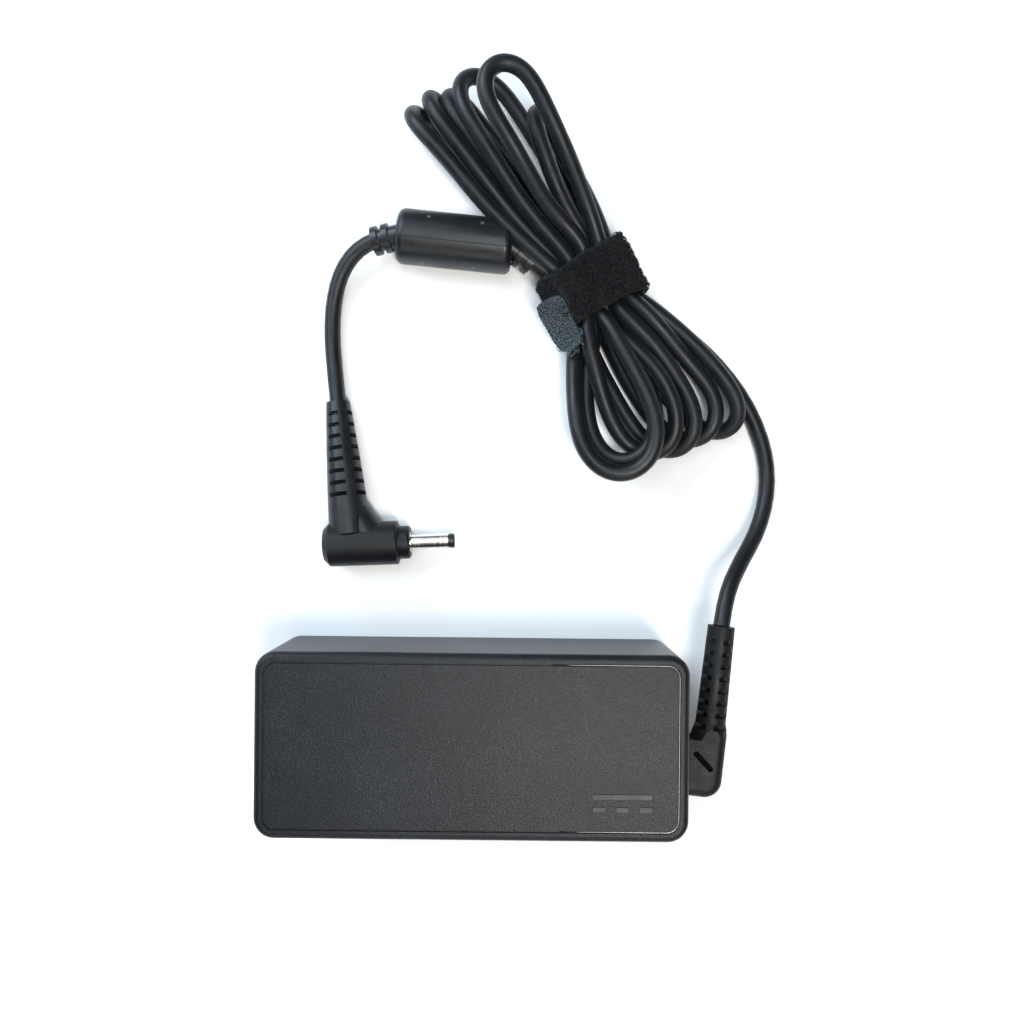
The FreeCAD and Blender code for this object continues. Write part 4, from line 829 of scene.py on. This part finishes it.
def prism(outline, low, high, verts, faces):
    """Adds a closed upright prism over an outline that runs anticlockwise."""
    base, count = len(verts), len(outline)
    verts += [Vector((x, y, z)) * MM for z in (low, high) for x, y in outline]
    faces += [tuple(base + step for step in range(count))[::-1], tuple(base + count + step for step in range(count))]
    faces += [(base + step, base + (step + 1) % count, base + count + (step + 1) % count, base + count + step)
              for step in range(count)]


def add_symbol_faces(material):
    """Smooth faces on the panel's raised direct-current symbol."""
    verts, faces = [], []
    dash = SYMBOL_LENGTH / 5
    bars = [(0.0, SYMBOL_GAP, SYMBOL_LENGTH)] + [(shift * 2 * dash, -SYMBOL_GAP, dash) for shift in (-1, 0, 1)]
    for shift, rise, length in bars:
        x, y, half = SYMBOL_AT[0] + shift, SYMBOL_AT[1] + rise, length / 2 + SYMBOL_SPREAD
        side = SYMBOL_STROKE / 2 + SYMBOL_SPREAD
        prism([(x - half, y - side), (x + half, y - side), (x + half, y + side), (x - half, y + side)],
              SYMBOL_TOP - SYMBOL_SINK, SYMBOL_TOP + SYMBOL_RISE, verts, faces)
    add_piece("panel_symbol_faces", verts, faces, material, smooth=False)


def add_vent_shade_insert(material):
    """A near-black insert down in the slot through the elbow's root: painted shade where the lamp-lit slot floor
    would show.
    """
    turn, half = math.radians(VENT_TURN), VENT_LENGTH / 2 - VENT_WIDTH / 2
    outline = []
    for end in (1, -1):
        for angle in np.linspace(-math.pi / 2, math.pi / 2, 9):
            x = end * (half + VENT_SHADE_RADIUS * math.cos(angle))
            y = end * VENT_SHADE_RADIUS * math.sin(angle)
            outline.append((VENT_AT[0] + x * math.cos(turn) - y * math.sin(turn),
                            VENT_AT[1] + x * math.sin(turn) + y * math.cos(turn)))
    verts, faces = [], []
    prism(outline, VENT_TOP - VENT_SHADE_LOW, VENT_TOP - VENT_SHADE_HIGH, verts, faces)
    add_piece("elbow_vent_floor", verts, faces, material, smooth=False)


# ---------------------------------------------------------------- the scene
add_camera()
add_studio()
slots = {name: node.data.materials[0].name for name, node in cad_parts.items()}
for slot in set(slots.values()):
    bpy.data.materials.remove(bpy.data.materials[slot])
paints = slot_paints()
for name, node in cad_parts.items():
    node.data.materials.clear()
    node.data.materials.append(paints[slots[name]])
    for polygon in node.data.polygons:
        polygon.material_index = 0

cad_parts["elbow_strain_relief"].data.materials[0] = jacket_paint(
    "elbow_black", (0.0060, 0.0068, 0.0080), 0.5, Specular_IOR_Level=0.2)
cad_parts["ferrite_overmould"].data.materials[0] = jacket_paint(
    "bead_black", (0.0030, 0.0045, 0.0065), 0.34, Specular_IOR_Level=0.46)
cord, cord_length = add_cord(paints["cord_black"])
pile_black = moulded_paint("pile_black", (0.0062, 0.0065, 0.0078), 0.6, 0.5, 0.01, 0.6, Specular_IOR_Level=0.35)
edge_grey = moulded_paint("edge_grey", (0.026, 0.026, 0.027), 0.7, 0.4, 0.01, 0.4)
hook_grey = moulded_paint("hook_grey", (0.150, 0.200, 0.230), 0.4, 0.6, 0.01, 0.45)
mark_grey = moulded_paint("mark_grey", (0.060, 0.066, 0.072), 0.4, 0.3, 0.01, 0.2)
band = add_band(paints["strap_fabric"])
pile = add_pile(pile_black, edge_grey)
tab, *hooks = add_tab(paints["hook_tape"], hook_grey)
add_bead_details(paints["soft_black"], mark_grey)
add_groove_line(moulded_paint("polished_black", (0.010, 0.011, 0.012), 0.12, 0.8, 0.001, 0.2))
add_symbol_faces(moulded_paint("symbol_face", (0.011, 0.0125, 0.015), 0.36, 0.3, 0.02, 0.5, Specular_IOR_Level=0.26))
# The vent insert's near-black, barely specular paint is painted shade in the slot.
add_vent_shade_insert(moulded_paint("vent_black", (0.0016, 0.0017, 0.0019), 0.9, 0.3, 0.02, 0.4, Specular_IOR_Level=0.1))

Vector(LEAD_ROUTE[0]) * MM
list(hooks)
